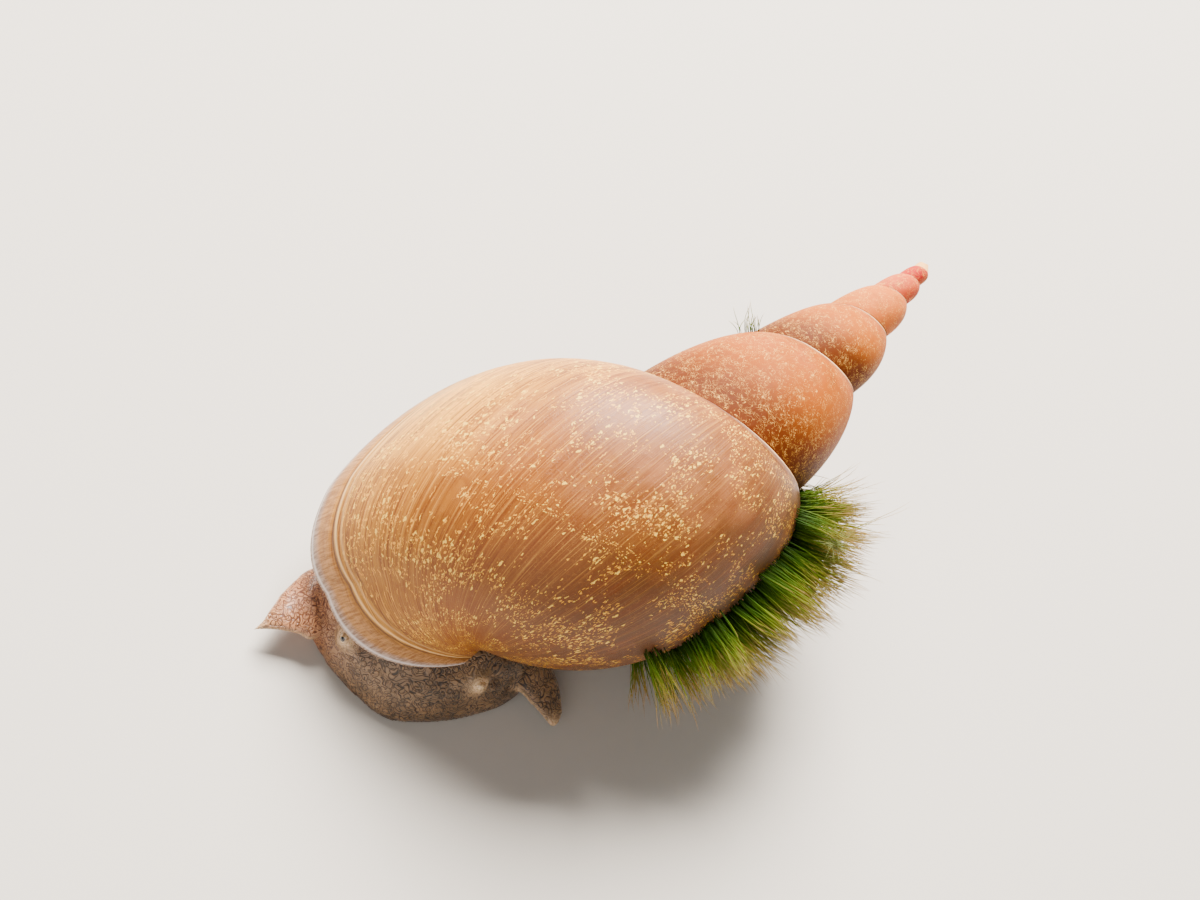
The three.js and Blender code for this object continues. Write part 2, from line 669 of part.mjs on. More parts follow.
const headCut = HEAD_CENTRE.clone().addScaledVector(headForward, HEAD_CUT);
const bodyCut = headCut.clone().addScaledVector(headForward, -GAP);
const tailDirection = new THREE.Vector3(0, 1, 0);
const frontOfCut = beyond(headCut, headForward);
const trunk = flesh.subtract(beyond(bodyCut, headForward));
const rear = beyond(new THREE.Vector3(0, TAIL_CUT + GAP, 0), tailDirection);
const front = trunk.subtract(beyond(new THREE.Vector3(0, TAIL_CUT, 0), tailDirection));

const looks = {
  shell_body_whorl: [beardedBody, 0xb78a5c, 0.38],
  shell_spire: [spireSolid, 0xa8663f, 0.42],
  mantle_collar: [mantleSolid, 0x8d8272, 0.5],
  neck: [largest(front.intersect(slabAbove(NECK_CUT_HEIGHT))), 0x857a6b, 0.5],
  head: [largest(flesh.intersect(frontOfCut)), 0x7f7565, 0.5],
  foot: [largest(front.subtract(slabAbove(NECK_CUT_HEIGHT - GAP))), 0x776c5e, 0.5],
  tail: [largest(trunk.intersect(rear)), 0x776c5e, 0.5],
  tentacle_left: [tentacleNodes.tentacle_left, 0x8d7863, 0.5],
  tentacle_right: [tentacleNodes.tentacle_right, 0x9a7053, 0.5],
  eye_left: [eyes.eye_left, 0x0c0a0a, 0.1],
  eye_right: [eyes.eye_right, 0x0c0a0a, 0.1],
};

const snail = new THREE.Group();
for (const [name, [solid, color, roughness]] of Object.entries(looks)) {
  const material = new THREE.MeshStandardMaterial({ color, roughness, metalness: 0 });
  const mesh = new THREE.Mesh(fromSolid(solid), material);
  mesh.name = name;
  snail.add(mesh);
}

// The origin is under the middle of the whole snail, on the floor.
const middle = new THREE.Box3().setFromObject(snail).getCenter(new THREE.Vector3());
snail.position.set(-middle.x, -middle.y, 0);
snail.updateMatrixWorld(true);

export default snail;
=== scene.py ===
# %% [markdown]
# # A great pond snail
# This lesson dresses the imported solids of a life-size great pond snail. The frame gives the plain
# solids, and each piece built here stands for some of them: a thin shell with its growth lines, one
# soft skin, two eyes, and a beard of green algae that grows on the shell.

# %% The frame
import math
import random

import bmesh
import bpy
from mathutils import Matrix, Vector, noise


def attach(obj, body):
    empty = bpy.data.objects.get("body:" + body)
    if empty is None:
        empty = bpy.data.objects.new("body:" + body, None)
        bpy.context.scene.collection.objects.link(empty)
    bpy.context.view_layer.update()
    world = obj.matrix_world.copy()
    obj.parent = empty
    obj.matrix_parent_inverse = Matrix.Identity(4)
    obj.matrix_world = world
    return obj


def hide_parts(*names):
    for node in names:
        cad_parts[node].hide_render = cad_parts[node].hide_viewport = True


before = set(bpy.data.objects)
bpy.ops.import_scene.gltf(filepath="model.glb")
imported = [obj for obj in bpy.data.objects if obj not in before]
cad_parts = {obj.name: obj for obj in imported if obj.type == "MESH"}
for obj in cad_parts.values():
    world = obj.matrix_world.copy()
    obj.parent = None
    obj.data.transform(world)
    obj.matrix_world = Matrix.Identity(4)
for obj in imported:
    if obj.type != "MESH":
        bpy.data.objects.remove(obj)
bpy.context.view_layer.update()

MM = 0.001
TURN = 2 * math.pi


# %% [markdown]
# ## Laying a grid on a surface
# Most of the snail is round and has no flat face to start from. A grid can be laid on any surface
# that a small function describes, like a cloth on a form, and its edges are merged where they meet.
# That keeps the faces in even rows, which the growth lines of the shell need.

# %% Grids that follow a surface
def lay_grid(bm, surface, columns, rows):
    """Lays a fresh grid on surface(across, along), both from 0 to 1."""
    laid = bmesh.ops.create_grid(bm, x_segments=columns, y_segments=rows, size=0.5)["verts"]
    for vert in laid:
        vert.co = surface(vert.co.x + 0.5, vert.co.y + 0.5)
    return laid


def close_up(bm, reach=1e-7):
    """Merges the edges that meet and fills what is still open."""
    bmesh.ops.remove_doubles(bm, verts=bm.verts[:], dist=reach)
    bmesh.ops.holes_fill(bm, edges=[edge for edge in bm.edges if edge.is_boundary], sides=0)
    bmesh.ops.recalc_face_normals(bm, faces=bm.faces[:])


def finish_piece(bm, name, stands_for):
    """Turns a bmesh into a smooth piece that rides on the snail."""
    mesh = bpy.data.meshes.new(name)
    bm.to_mesh(mesh)
    bm.free()
    piece = bpy.data.objects.new(name, mesh)
    bpy.context.scene.collection.objects.link(piece)
    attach(piece, "root")
    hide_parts(*stands_for)
    triangles = sum(len(face.vertices) - 2 for face in mesh.polygons)
    print(name, "has", triangles, "triangles")
    return piece


# %% [markdown]
# ## The shell's growth
# A snail adds shell at the lip, a little wider with every turn, so each point of it is known by two
# numbers: how many turns back from the lip it grew, and how far down the whorl it lies. Row 0 is the
# suture, row 1 is where the next suture would run, and row 2 is the foot of the axis. The spire grows
# by the same factor each turn, and the last turn fills out more below.

# %% The suture line
SUTURE_RADIUS, RADIUS_GROWTH, RADIUS_LOSS = 8.62, 1.785, 0.088
SUTURE_DEPTH, DEPTH_GROWTH, DEPTH_LOSS = 29.26, 1.6425, 0.023
APEX_DEPTH, APEX_RADIUS = 0.26, 0.45


def suture(angle):
    """Radius and depth, in mm, of the suture, which draws in a little over the last turn."""
    last = min((angle + TURN) / TURN, 1.5)
    gain = last * last if last > 0 else 0
    turns = angle / TURN
    radius = SUTURE_RADIUS * RADIUS_GROWTH ** turns * (1 - RADIUS_LOSS * gain)
    depth = SUTURE_DEPTH * DEPTH_GROWTH ** turns * (1 - DEPTH_LOSS * gain) - APEX_DEPTH
    return Vector((math.hypot(radius, APEX_RADIUS), depth))


# %% The whorl's profile
BASE_DEPTH, BASE_GROWTH = 48.4, 1.055
SPIRE_SIDE = 0.47
FLARE, FLARE_ANGLE = 3, 1.6
LIP_DROP, DROP_START, DROP_WIDTH = 1.8, 1.35, 0.75


def bezier(a, b, c, d, u):
    v = 1 - u
    return a * v ** 3 + b * 3 * v * v * u + c * 3 * v * u * u + d * u ** 3


def ease(x):
    """Rises smoothly from 0 to 1."""
    x = min(max(x, 0), 1)
    return x * x * (3 - 2 * x)


def whorl(angle, row):
    """Radius and depth, in mm, of a point of the shell."""
    gain = min(max((angle + TURN) / TURN, 0), 1) ** 2
    upper, lower = suture(angle), suture(angle + TURN)
    foot = Vector((0, BASE_DEPTH * BASE_GROWTH ** (angle / TURN)))
    lean = -0.1 - 0.325 * gain
    flank = Vector((math.sin(lean), math.cos(lean)))
    if row <= 1:
        high_up = ease(-angle / TURN - 1)
        full = 0.5 + 0.5 * math.cos(angle + SPIRE_SIDE * TURN)
        span = (lower - upper).length
        shoulder = 0.767 - 0.592 * gain
        pull = (0.3 + (0.17 * full - 0.05) * high_up + 0.267 * gain) * span
        below = (0.102 + (0.2 * full - 0.052) * high_up) * span
        out = Vector((math.cos(shoulder), math.sin(shoulder)))
        point = bezier(upper, upper + out * pull, lower - flank * below, lower, row)
    else:
        span = (foot - lower).length
        pull = (0.538 + 0.294 * gain) * span
        pole = Vector((0.052 * span * math.cos(-0.365), foot.y - 0.052 * span * math.sin(-0.365)))
        point = bezier(lower, lower + flank * pull, pole, foot, row - 1)
    near_lip = min(max(1 + angle / FLARE_ANGLE, 0), 1) ** 2
    flare = FLARE * near_lip * math.sin(math.pi * row / 2)
    drop = LIP_DROP * near_lip * math.sin(math.pi * min(max((row - DROP_START) / DROP_WIDTH, 0), 1))
    return Vector((max(point.x + flare, 0), point.y + flare + drop))


# %% The stance: the apex tips up and the lip leans a little
SHIFT = Vector((0.42815, 27.81856, 0))
STANCE = (
    Matrix.Translation((SHIFT + Vector((0, 0, 20.8))) * MM)
    @ Matrix.Rotation(math.radians(18), 4, "X")
    @ Matrix.Rotation(math.radians(4), 4, "Y")
)


def placed(x, y, z):
    """A point given in mm in the frame of the shell's apex."""
    return (Vector((x, y, z)) + SHIFT) * MM


def shell_point(angle, row):
    radius, depth = whorl(angle, row)
    return STANCE @ (Vector((-radius * math.cos(angle), -depth, -radius * math.sin(angle))) * MM)


def flank(angle, row):
    """A place on the shell and the way straight out of it."""
    row = min(max(row, 0.01), 1.96)
    place = shell_point(angle, row)
    out = (shell_point(angle + 0.02, row) - place).cross(shell_point(angle, row + 0.02) - place)
    return place, out.normalized()


print("the lip's furthest point", [round(c / MM, 2) for c in shell_point(0, 1.3)])


# %% [markdown]
# ## The shell's outside
# Two grids make it: one winds from the apex down to the lip, between the sutures, and one covers the
# belly of the last whorl. Both have the same steps in a turn, so their edges merge, and the steps are
# finest just behind the lip, where the thick edge of a grown shell has its creases. A UV map keeps
# turns and row on every face, because the lines and flecks of the shell follow its growth.

# %% Two wound grids
TURNS = 6
STEPS = 180
FINE_STEPS = 36
FINE_SHARE = 0.05
SHOULDER_ROWS = 36
BELLY_ROWS = 52

shell = bmesh.new()
growth = shell.loops.layers.uv.new("Growth")
turn_of = shell.verts.layers.float.new("turn")
row_of = shell.verts.layers.float.new("row")
back_of = shell.verts.layers.float.new("back")


def stepped(turn):
    """Moves even steps of a turn so that the last ones are fine."""
    whole = math.floor(turn + 1e-6)
    step = (turn - whole) * STEPS
    coarse = STEPS - FINE_STEPS
    if step <= coarse:
        return whole + step / coarse * (1 - FINE_SHARE)
    return whole + 1 - FINE_SHARE * (STEPS - step) / FINE_STEPS


def wind(turns, rows, first_row, grid_rows):
    """Winds a strip back from the lip over some turns, and notes turns and row on its faces."""
    before = set(shell.faces)
    laid = lay_grid(shell, lambda across, along: Vector((across, along, 0)), turns * STEPS, grid_rows)
    for vert in laid:
        vert[turn_of] = min(stepped(-turns * (1 - vert.co.x)), 0)
        vert[row_of] = first_row + rows * vert.co.y
    for face in set(shell.faces) - before:
        for loop in face.loops:
            loop[growth].uv = (loop.vert[turn_of], loop.vert[row_of])
    for vert in laid:
        angle, row = vert[turn_of] * TURN, vert[row_of]
        vert[back_of] = -angle * (4 + 0.7 * whorl(angle, row).x)
        vert.co = shell_point(angle, row)


wind(TURNS, 1, 0, SHOULDER_ROWS)
wind(1, 1, 1, BELLY_ROWS)
bmesh.ops.remove_doubles(shell, verts=shell.verts[:], dist=2e-6)
print("shell vertices", len(shell.verts))

# %% [markdown]
# ## The lip
# The edge of a grown shell is a little thickened: a rounded band, then a crease where growth once
# stopped. The open rim is extruded in small steps, first round the edge and then back along the
# inside of the wall, half a millimetre below the outside, so it never shows through.

# %% The rounded lip and the inner wall
LIP_STEPS = [
    (0.05, 0.03), (0.1, 0.1), (0.12, 0.2), (0.11, 0.31), (0.06, 0.41),
    (-0.04, 0.48), (-0.5, 0.54), (-1.2, 0.58), (-2.4, 0.62),
]
NEAR_POLE = 1.985


def wall_place(vert, number, ahead, deep):
    """Where a copied rim vertex goes: ahead of the lip and deep under its outside, in mm."""
    turn, row = vert[turn_of], vert[row_of]
    radius = max(whorl(turn * TURN, row).x, 2.5)
    if row > NEAR_POLE:
        depth = whorl(turn * TURN, 2).y
        return STANCE @ (Vector((-0.5 * deep, 0.6 * deep - depth, 0)) * MM)
    if turn < -0.5:
        inwards = (max(-ahead, 0) + 0.04 * (number + 1)) / radius
        return shell_point(turn * TURN - inwards, row)
    place, out = flank(ahead / radius, row)
    return place - out * deep * MM


def in_last_turn(edge):
    return all(vert[turn_of] > -1.001 for vert in edge.verts)


rim = [edge for edge in shell.edges if edge.is_boundary and in_last_turn(edge)]
for number, (ahead, deep) in enumerate(LIP_STEPS):
    grown = bmesh.ops.extrude_edge_only(shell, edges=rim)["geom"]
    for vert in (g for g in grown if isinstance(g, bmesh.types.BMVert)):
        vert.co = wall_place(vert, number, ahead, deep)
        vert[back_of] = -max(ahead, 0) if ahead > -0.1 else -0.3
    for face in (g for g in grown if isinstance(g, bmesh.types.BMFace)):
        for loop in face.loops:
            loop[growth].uv = (0.004 * (number + 1), loop.vert[row_of])
    rim = [g for g in grown if isinstance(g, bmesh.types.BMEdge) and g.is_boundary]
print("lip edges", len(rim))

# %% The mouth is closed deep inside, and the apex by a small round cap
inner = bmesh.ops.contextual_create(shell, geom=rim)["faces"]
bmesh.ops.triangulate(shell, faces=inner)
cap = bmesh.ops.holes_fill(shell, edges=[edge for edge in shell.edges if edge.is_boundary], sides=0)["faces"]
tip = bmesh.ops.poke(shell, faces=cap)
for vert in tip["verts"]:
    vert.co = STANCE @ (Vector((0, -1.0, 0)) * MM)
for face in tip["faces"]:
    for loop in face.loops:
        loop[growth].uv = (-TURNS, 0.5)
bmesh.ops.recalc_face_normals(shell, faces=shell.faces[:])

# %% Relief: the thick band of the lip, its crease, and slow waves of growth
shell.normal_update()
lifts = []
for vert in shell.verts:
    back = vert[back_of]
    turn, row = vert[turn_of], vert[row_of]
    lift = 0.035 * noise.noise(Vector((turn * 26, row * 1.6, 3)))
    lift += 0.03 * noise.noise(Vector((turn * 9, row * 3.2, 7)))
    lift *= 1 / (1 + max(-turn - 0.5, 0) * 1.6)
    if 0 < back < 4:
        lift += 0.08 * math.sin(math.pi * min(back / 2.1, 1)) ** 0.8
        lift -= 0.05 * math.exp(-(((back - 2.15) / 0.16) ** 2))
        lift += 0.04 * math.exp(-(((back - 2.5) / 0.2) ** 2))
    if back > 0 and row < NEAR_POLE:
        lifts.append((vert, vert.normal * lift * MM * min(back / 0.3, 1)))
for vert, lift in lifts:
    vert.co += lift

# %% The suture stays a crisp crease
for edge in shell.edges:
    corners = [loop for face in edge.link_faces for loop in face.loops if loop.vert in edge.verts]
    rows = {round(corner[growth].uv.y, 3) for corner in corners}
    edge.smooth = not (0.0 in rows and 1.0 in rows)
for face in shell.faces:
    face.smooth = True
shell_piece = finish_piece(shell, "Snail_shell", ["shell_body_whorl", "shell_spire"])


# %% [markdown]
# ## The skin
# The soft body is one skin: a creeping foot, a column that rises into the shell's mouth, a broad head
# and two flat, three-cornered tentacles. Each is a grid closed round a row of sections. A voxel remesh
# then melts them together, as living flesh has no seams, and smoothing takes out its steps.

# %% A path through named stations
def through(stations, along):
    """A smooth value between evenly spaced stations."""
    place = min(max(along, 0), 1) * (len(stations) - 1)
    i = min(int(place), len(stations) - 2)
    u = place - i
    before, a, b = stations[max(i - 1, 0)], stations[i], stations[i + 1]
    after = stations[min(i + 2, len(stations) - 1)]
    return [
        0.5 * (2 * q + (r - p) * u + (2 * p - 5 * q + 4 * r - s) * u * u + (3 * q - p - 3 * r + s) * u ** 3)
        for p, q, r, s in zip(before, a, b, after)
    ]


# %% The foot: flat below, arched above
FOOT = [
    (-8.9, -1.5, -0.7, 0.35),
    (-9.8, -2.3, 0.0, 1.1),
    (-12, -3.6, 1.1, 1.8),
    (-17, -6.8, 2.9, 2.9),
    (-23, -9.6, 4.1, 3.8),
    (-30, -11.7, 4.6, 4.6),
    (-37, -12.7, 3.4, 5.2),
    (-43, -12.6, 1.6, 5.4),
    (-47.5, -10.8, -0.6, 5),
]
SOLE_SHARE = 0.35


def sole_section(around, half, height):
    """Sideways place and rise of a section with a flat sole."""
    edge = min(0.35, height / 3)
    if around < SOLE_SHARE:
        return (2 * around / SOLE_SHARE - 1) * half * 0.96, 0
    turn = math.pi * (around - SOLE_SHARE) / (1 - SOLE_SHARE)
    return half * math.cos(turn), edge + (height - edge) * max(math.sin(turn), 0) ** 0.9


def foot_surface(around, along):
    y, left, right, height = through(FOOT, along)
    side, rise = sole_section(around, (right - left) / 2, height)
    return placed((left + right) / 2 + side, y, rise)


def solid_form(bm, surface, columns, rows):
    """A closed form of its own, laid as one grid."""
    part = bmesh.new()
    lay_grid(part, surface, columns, rows)
    close_up(part, 1e-6)
    mesh = bpy.data.meshes.new("form")
    part.to_mesh(mesh)
    part.free()
    bm.from_mesh(mesh)
    bpy.data.meshes.remove(mesh)


skin = bmesh.new()
solid_form(skin, foot_surface, 48, 60)

# %% The head: a broad half round with a thin front margin
HEAD = Vector((-4.15, -46, 0))
HEAD_TURN = math.radians(30.4)
AHEAD = Vector((math.sin(HEAD_TURN), -math.cos(HEAD_TURN), 0))
ASIDE = Vector((math.cos(HEAD_TURN), math.sin(HEAD_TURN), 0))


def head_half(ahead):
    if ahead < 0:
        return 8.4 * (1 - 0.5 * (ahead / 8) ** 2)
    return 8.4 * (1 - min(ahead / 5.75, 1) ** 1.6) ** 0.72


def head_top(ahead):
    return 0.7 + 5.5 * (1 - min(max(ahead / 5.75, 0), 1) ** 1.9) ** 0.6


def head_surface(around, along):
    ahead = -8 + 13.75 * math.sin(math.pi / 2 * along)
    side, rise = sole_section(around, max(head_half(ahead), 0.4), head_top(ahead))
    place = HEAD + AHEAD * ahead + ASIDE * side
    return placed(place.x, place.y, rise)


def head_spot(ahead, side):
    """A place on the top of the head, in mm."""
    share = min(abs(side) / head_half(ahead), 1)
    rise = 0.35 + (head_top(ahead) - 0.35) * math.sqrt(1 - share * share) ** 0.9
    place = HEAD + AHEAD * ahead + ASIDE * side
    return Vector((place.x, place.y, rise))


solid_form(skin, head_surface, 64, 48)

# %% The neck column and the mantle that fills the shell's mouth
def mouth_outline(around):
    """The edge of the shell's mouth: first the inner wall, then the lip."""
    if around < 0.35:
        return whorl(-TURN, 1 + around / 0.35)
    return whorl(0, 2 - 2 * (around - 0.35) / 0.65)


def mouth_point(around, inset, level):
    radius, depth = mouth_outline(around)
    radius = 9.5 + (radius - 9.5) * (1 - inset / 7)
    depth = 42.5 + (depth - 42.5) * (1 - inset / 12)
    return STANCE @ (Vector((-radius, -depth, level)) * MM)


def neck_surface(around, along):
    tops = [mouth_point((around + step) % 1.0, 2.4, 0.6) for step in (-0.08, -0.04, 0, 0.04, 0.08)]
    top = sum(tops, Vector()) / len(tops)
    low = Vector((top.x, top.y, 1.4 * MM)).lerp(placed(-6, -35, 1.4), 0.08)
    waist = 1 - 0.12 * math.sin(math.pi * along)
    place = low.lerp(top, along)
    middle = placed(-6.5, -36, 0).lerp(placed(-7.5, -34, 9), along)
    return Vector((middle.x + (place.x - middle.x) * waist, middle.y + (place.y - middle.y) * waist, place.z))


def mantle_surface(around, along):
    """Follows the inside of the wall: from a little behind the lip to deeper in."""
    behind, deep = through([(0.9, 2.4), (0.7, 1.1), (1.2, 0.8), (3.0, 1.6)], along)
    around %= 1.0
    if around < 0.35:
        place, out = flank(-TURN, 1 + around / 0.35)
        return place + out * (deep - 0.6) * MM + (STANCE.to_3x3() @ Vector((0, 0, behind))) * MM
    row = 2 - 2 * (around - 0.35) / 0.65
    place, out = flank(-behind / max(whorl(0, row).x, 3), row)
    return place - out * deep * MM


solid_form(skin, neck_surface, 48, 12)
solid_form(skin, mantle_surface, 60, 10)

# %% The tentacles: flat, with a slender hooked tip
TENTACLES = {
    "right": [
        ((-11.6, -46.5), (-7.4, -49.6), 2.2, 1.2),
        ((-12.75, -48.8), (-8.3, -52.2), 2.1, 0.9),
        ((-12.65, -50.3), (-9.2, -52.7), 2.1, 0.62),
        ((-12.45, -51.6), (-9.8, -53.2), 2.05, 0.5),
        ((-12.0, -52.9), (-10.5, -53.8), 1.95, 0.4),
        ((-11.6, -54.0), (-11.1, -54.4), 1.75, 0.28),
        ((-11.5, -54.8), (-11.4, -54.85), 1.5, 0.08),
    ],
    "left": [
        ((0.4, -38.2), (0.4, -43.2), 2.4, 1.4),
        ((2.2, -39.4), (1.7, -43.0), 2.3, 1.0),
        ((3.9, -39.8), (3.2, -42.9), 2.0, 0.7),
        ((5.3, -40.4), (4.4, -42.8), 1.75, 0.5),
        ((6.35, -41.2), (5.5, -42.7), 1.55, 0.36),
        ((6.75, -41.9), (6.2, -42.65), 1.4, 0.26),
        ((6.8, -42.5), (6.65, -42.6), 1.3, 0.08),
    ],
}


def tentacle_surface(stations):
    flat = [(a[0], a[1], b[0], b[1], rise, half) for a, b, rise, half in stations]

    def surface(around, along):
        ax, ay, bx, by, rise, half = through(flat, along)
        turn = TURN * around
        share = 0.5 + 0.5 * math.cos(turn)
        lift = half * math.sin(turn) * (1 if math.sin(turn) > 0 else 0.7)
        return placed(bx + (ax - bx) * share, by + (ay - by) * share, rise + lift)

    return surface


for stations in TENTACLES.values():
    solid_form(skin, tentacle_surface(stations), 40, 36)

# %% Eye mounds and lips
def out_of_head(ahead, side):
    a = head_spot(ahead + 0.2, side) - head_spot(ahead, side)
    b = head_spot(ahead, side + 0.2) - head_spot(ahead, side)
    out = a.cross(b).normalized()
    return out if out.z > 0 else -out


MOUND_RADIUS = 1.12
EYES = {}
for side_name, ahead, side in (("left", 2.7, 4.85), ("right", 2.95, -4.7)):
    out = out_of_head(ahead, side)
    middle = head_spot(ahead, side) - out * 0.62
    EYES[side_name] = (middle + out * 0.87, out)
    made = bmesh.ops.create_uvsphere(skin, u_segments=32, v_segments=20, radius=MOUND_RADIUS)["verts"]
    bmesh.ops.scale(skin, verts=made, vec=(MM, MM, MM))
    bmesh.ops.translate(skin, verts=made, vec=placed(*middle))
for side in (-0.9, 0.9):
    lip = HEAD + AHEAD * 5 + ASIDE * side
    made = bmesh.ops.create_uvsphere(skin, u_segments=24, v_segments=14, radius=0.8)["verts"]
    bmesh.ops.scale(skin, verts=made, vec=(MM, MM, MM * 0.8))
    bmesh.ops.translate(skin, verts=made, vec=placed(lip.x, lip.y, 0.66))
bmesh.ops.recalc_face_normals(skin, faces=skin.faces[:])
print("eyes at", {name: [round(c, 2) for c in spot[0]] for name, spot in EYES.items()})

# %% One skin by voxel remesh
VOXEL = 0.17
SMOOTHINGS = 6
NEAR_FLOOR = 0.24
mesh = bpy.data.meshes.new("melted")
skin.to_mesh(mesh)
skin.free()
melted = bpy.data.objects.new("melted", mesh)
bpy.context.scene.collection.objects.link(melted)
remesh = melted.modifiers.new("melt", "REMESH")
remesh.mode = "VOXEL"
remesh.voxel_size = VOXEL * MM
remesh.adaptivity = 0
skin = bmesh.new()
skin.from_object(melted, bpy.context.evaluated_depsgraph_get())
bpy.data.objects.remove(melted)
axes = {"use_axis_x": True, "use_axis_y": True, "use_axis_z": True}
for _ in range(SMOOTHINGS):
    bmesh.ops.smooth_vert(skin, verts=skin.verts[:], factor=0.5, **axes)
print("skin vertices", len(skin.verts))

# %% [markdown]
# ## Folds of the skin
# Soft skin folds where it bends: in front of the neck, beside each tentacle and round the eye mounds.
# Each fold is a short line with a width and a depth, and every point of the skin near the line moves
# along its normal by that depth, which fades to nothing at the width.

# %% Folds and ridges as lines
FOLDS = [
    ([(0.3, -47.4, 3.4), (0.9, -46.4, 3.5), (1.5, -45.5, 3.6), (2.0, -44.6, 3.6)], 0.35, -0.3),
    ([(-0.1, -48.0, 3.0), (0.5, -47.2, 3.0), (1.2, -46.3, 3.0)], 0.5, 0.16),
    ([(1.3, -42.2, 3.2), (1.9, -43.0, 3.0), (2.7, -43.6, 2.4)], 0.35, -0.34),
    ([(-9.6, -49.0, 3.4), (-8.8, -50.4, 2.8), (-8.2, -51.8, 1.6)], 0.5, -0.18),
    ([(-5.1, -51.2, 3.6), (-4.5, -51.8, 3.2), (-3.3, -52.2, 2.2)], 0.42, 0.24),
    ([(-4.3, -50.8, 4.0), (-3.6, -51.4, 3.6), (-2.6, -51.8, 2.6)], 0.3, -0.2),
    ([(-7.7, -51.2, 3.2), (-7.2, -52.0, 2.8), (-6.0, -52.2, 2.6)], 0.3, -0.14),
    ([(-6.0, -50.2, 4.8), (-4.6, -50.0, 5.0), (-3.0, -49.4, 5.2)], 0.4, -0.1),
]


def distance_to_line(point, line):
    nearest = 1e9
    for a, b in zip(line, line[1:]):
        run = b - a
        share = min(max((point - a).dot(run) / run.length_squared, 0), 1)
        nearest = min(nearest, (point - a - run * share).length)
    return nearest


pale_layer = skin.verts.layers.float.new("pale")
warm_layer = skin.verts.layers.float.new("warm")
skin.normal_update()
front = [vert for vert in skin.verts if vert.co.y < placed(0, -37, 0).y]
moves = []
for line, width, depth in FOLDS:
    line = [placed(*spot) for spot in line]
    reach = 2.5 * width * MM
    low_corner = Vector([min(p[i] for p in line) - reach for i in range(3)])
    high_corner = Vector([max(p[i] for p in line) + reach for i in range(3)])
    for vert in front:
        if all(low_corner[i] < vert.co[i] < high_corner[i] for i in range(3)):
            share = distance_to_line(vert.co, line) / (width * MM)
            moves.append((vert, vert.normal * depth * MM * math.exp(-share * share)))
for vert, move in moves:
    vert.co += move

# %% The sole is flat, and the flesh keeps a fine grain
for vert in skin.verts:
    rough = noise.noise(vert.co / (0.9 * MM)) * 0.035 + noise.noise(vert.co / (2.4 * MM)) * 0.06
    if vert.co.z > 0.3 * MM:
        vert.co += vert.normal * rough * MM
    if vert.co.z < NEAR_FLOOR * MM:
        vert.co.z = 0

# %% [markdown]
# ## Where the skin is pale
# The rims and tips of the tentacles and the eye mounds are thinner and paler. Each point of the skin
# keeps how pale and how warm it is as an attribute, which the material reads.

# %% Pale rims
edges = []
for stations in TENTACLES.values():
    for number in (0, 1):
        edges.append([placed(*stations[i][number], stations[i][2]) for i in range(1, len(stations))])
tips = [placed(*stations[-1][0], stations[-1][2]) for stations in TENTACLES.values()]
warm_middle = placed(-11.0, -50.5, 2)
for vert in front:
    near_tip = min((vert.co - tip_place).length for tip_place in tips)
    near_eye = min((vert.co - placed(*spot)).length for spot, _ in EYES.values())
    near_edge = min(distance_to_line(vert.co, edge) for edge in edges) if near_tip < 8 * MM else 1
    vert[pale_layer] = max(
        0.8 * math.exp(-((near_edge / (0.2 * MM)) ** 2)),
        math.exp(-((near_tip / (0.8 * MM)) ** 2)),
        0.8 * math.exp(-(((near_eye - 0.5 * MM) / (0.22 * MM)) ** 2)),
        0.35 * math.exp(-((near_eye / (1.1 * MM)) ** 4)),
    )
    vert[warm_layer] = math.exp(-(((vert.co - warm_middle).length / (3.8 * MM)) ** 2))
for face in skin.faces:
    face.smooth = True
soft_nodes = ["head", "neck", "foot", "tail", "mantle_collar", "tentacle_left", "tentacle_right"]
skin_piece = finish_piece(skin, "Skin", soft_nodes)

# %% [markdown]
# ## The eyes
# A pond snail's eyes are small dark beads that lie under clear skin at the inner foot of each
# tentacle. Each is a rounded bead, a little flattened over the pupil, and an attribute marks how far
# each point lies from the pupil's middle. The left eye looks out to the side.

# %% Two eyes
EYE_RADIUS = 0.4 * MM


def make_eye(name, spot, out):
    eye = bmesh.new()
    made = bmesh.ops.create_uvsphere(eye, u_segments=40, v_segments=24, radius=EYE_RADIUS)["verts"]
    for vert in made:
        bulge = max(vert.co.z / EYE_RADIUS, 0)
        vert.co.z -= 0.05 * MM * ease(bulge * 1.4 - 0.4)
    dark = eye.verts.layers.float.new("pupil")
    for vert in eye.verts:
        vert[dark] = math.hypot(vert.co.x, vert.co.y) / EYE_RADIUS if vert.co.z > 0 else 1
    bmesh.ops.transform(eye, verts=eye.verts[:], matrix=out.to_track_quat("Z", "Y").to_matrix().to_4x4())
    bmesh.ops.translate(eye, verts=eye.verts[:], vec=placed(*spot))
    for face in eye.faces:
        face.smooth = True
    return finish_piece(eye, name, ["eye_" + name.split("_")[1].lower()])


LOOK = {"left": Vector((0.9, 0.3, -0.25)).normalized(), "right": EYES["right"][1]}
eye_pieces = [make_eye("Eye_" + name.capitalize(), spot, LOOK[name]) for name, (spot, _) in EYES.items()]
print("the eyes look along", {name: [round(c, 2) for c in out] for name, out in LOOK.items()})


# %% [markdown]
# ## The beard of algae
# Green thread algae grow on the flank of the last whorl, just under the suture. The threads stand in
# locks, one for each flat lock of the solid: those of a lock leave the shell together, bend with their
# neighbours, and part and curl at the tips. Every thread is a thin three-sided tube. One long grid
# holds them all, with the faces between two threads taken out, and a fixed seed sets each one's place.

# %% Laying threads
RIGHT = Vector((0.67865, 0.65614, 0.33002))
UP = Vector((-0.70538, 0.4571, 0.54175))
THREAD_STEPS = 9


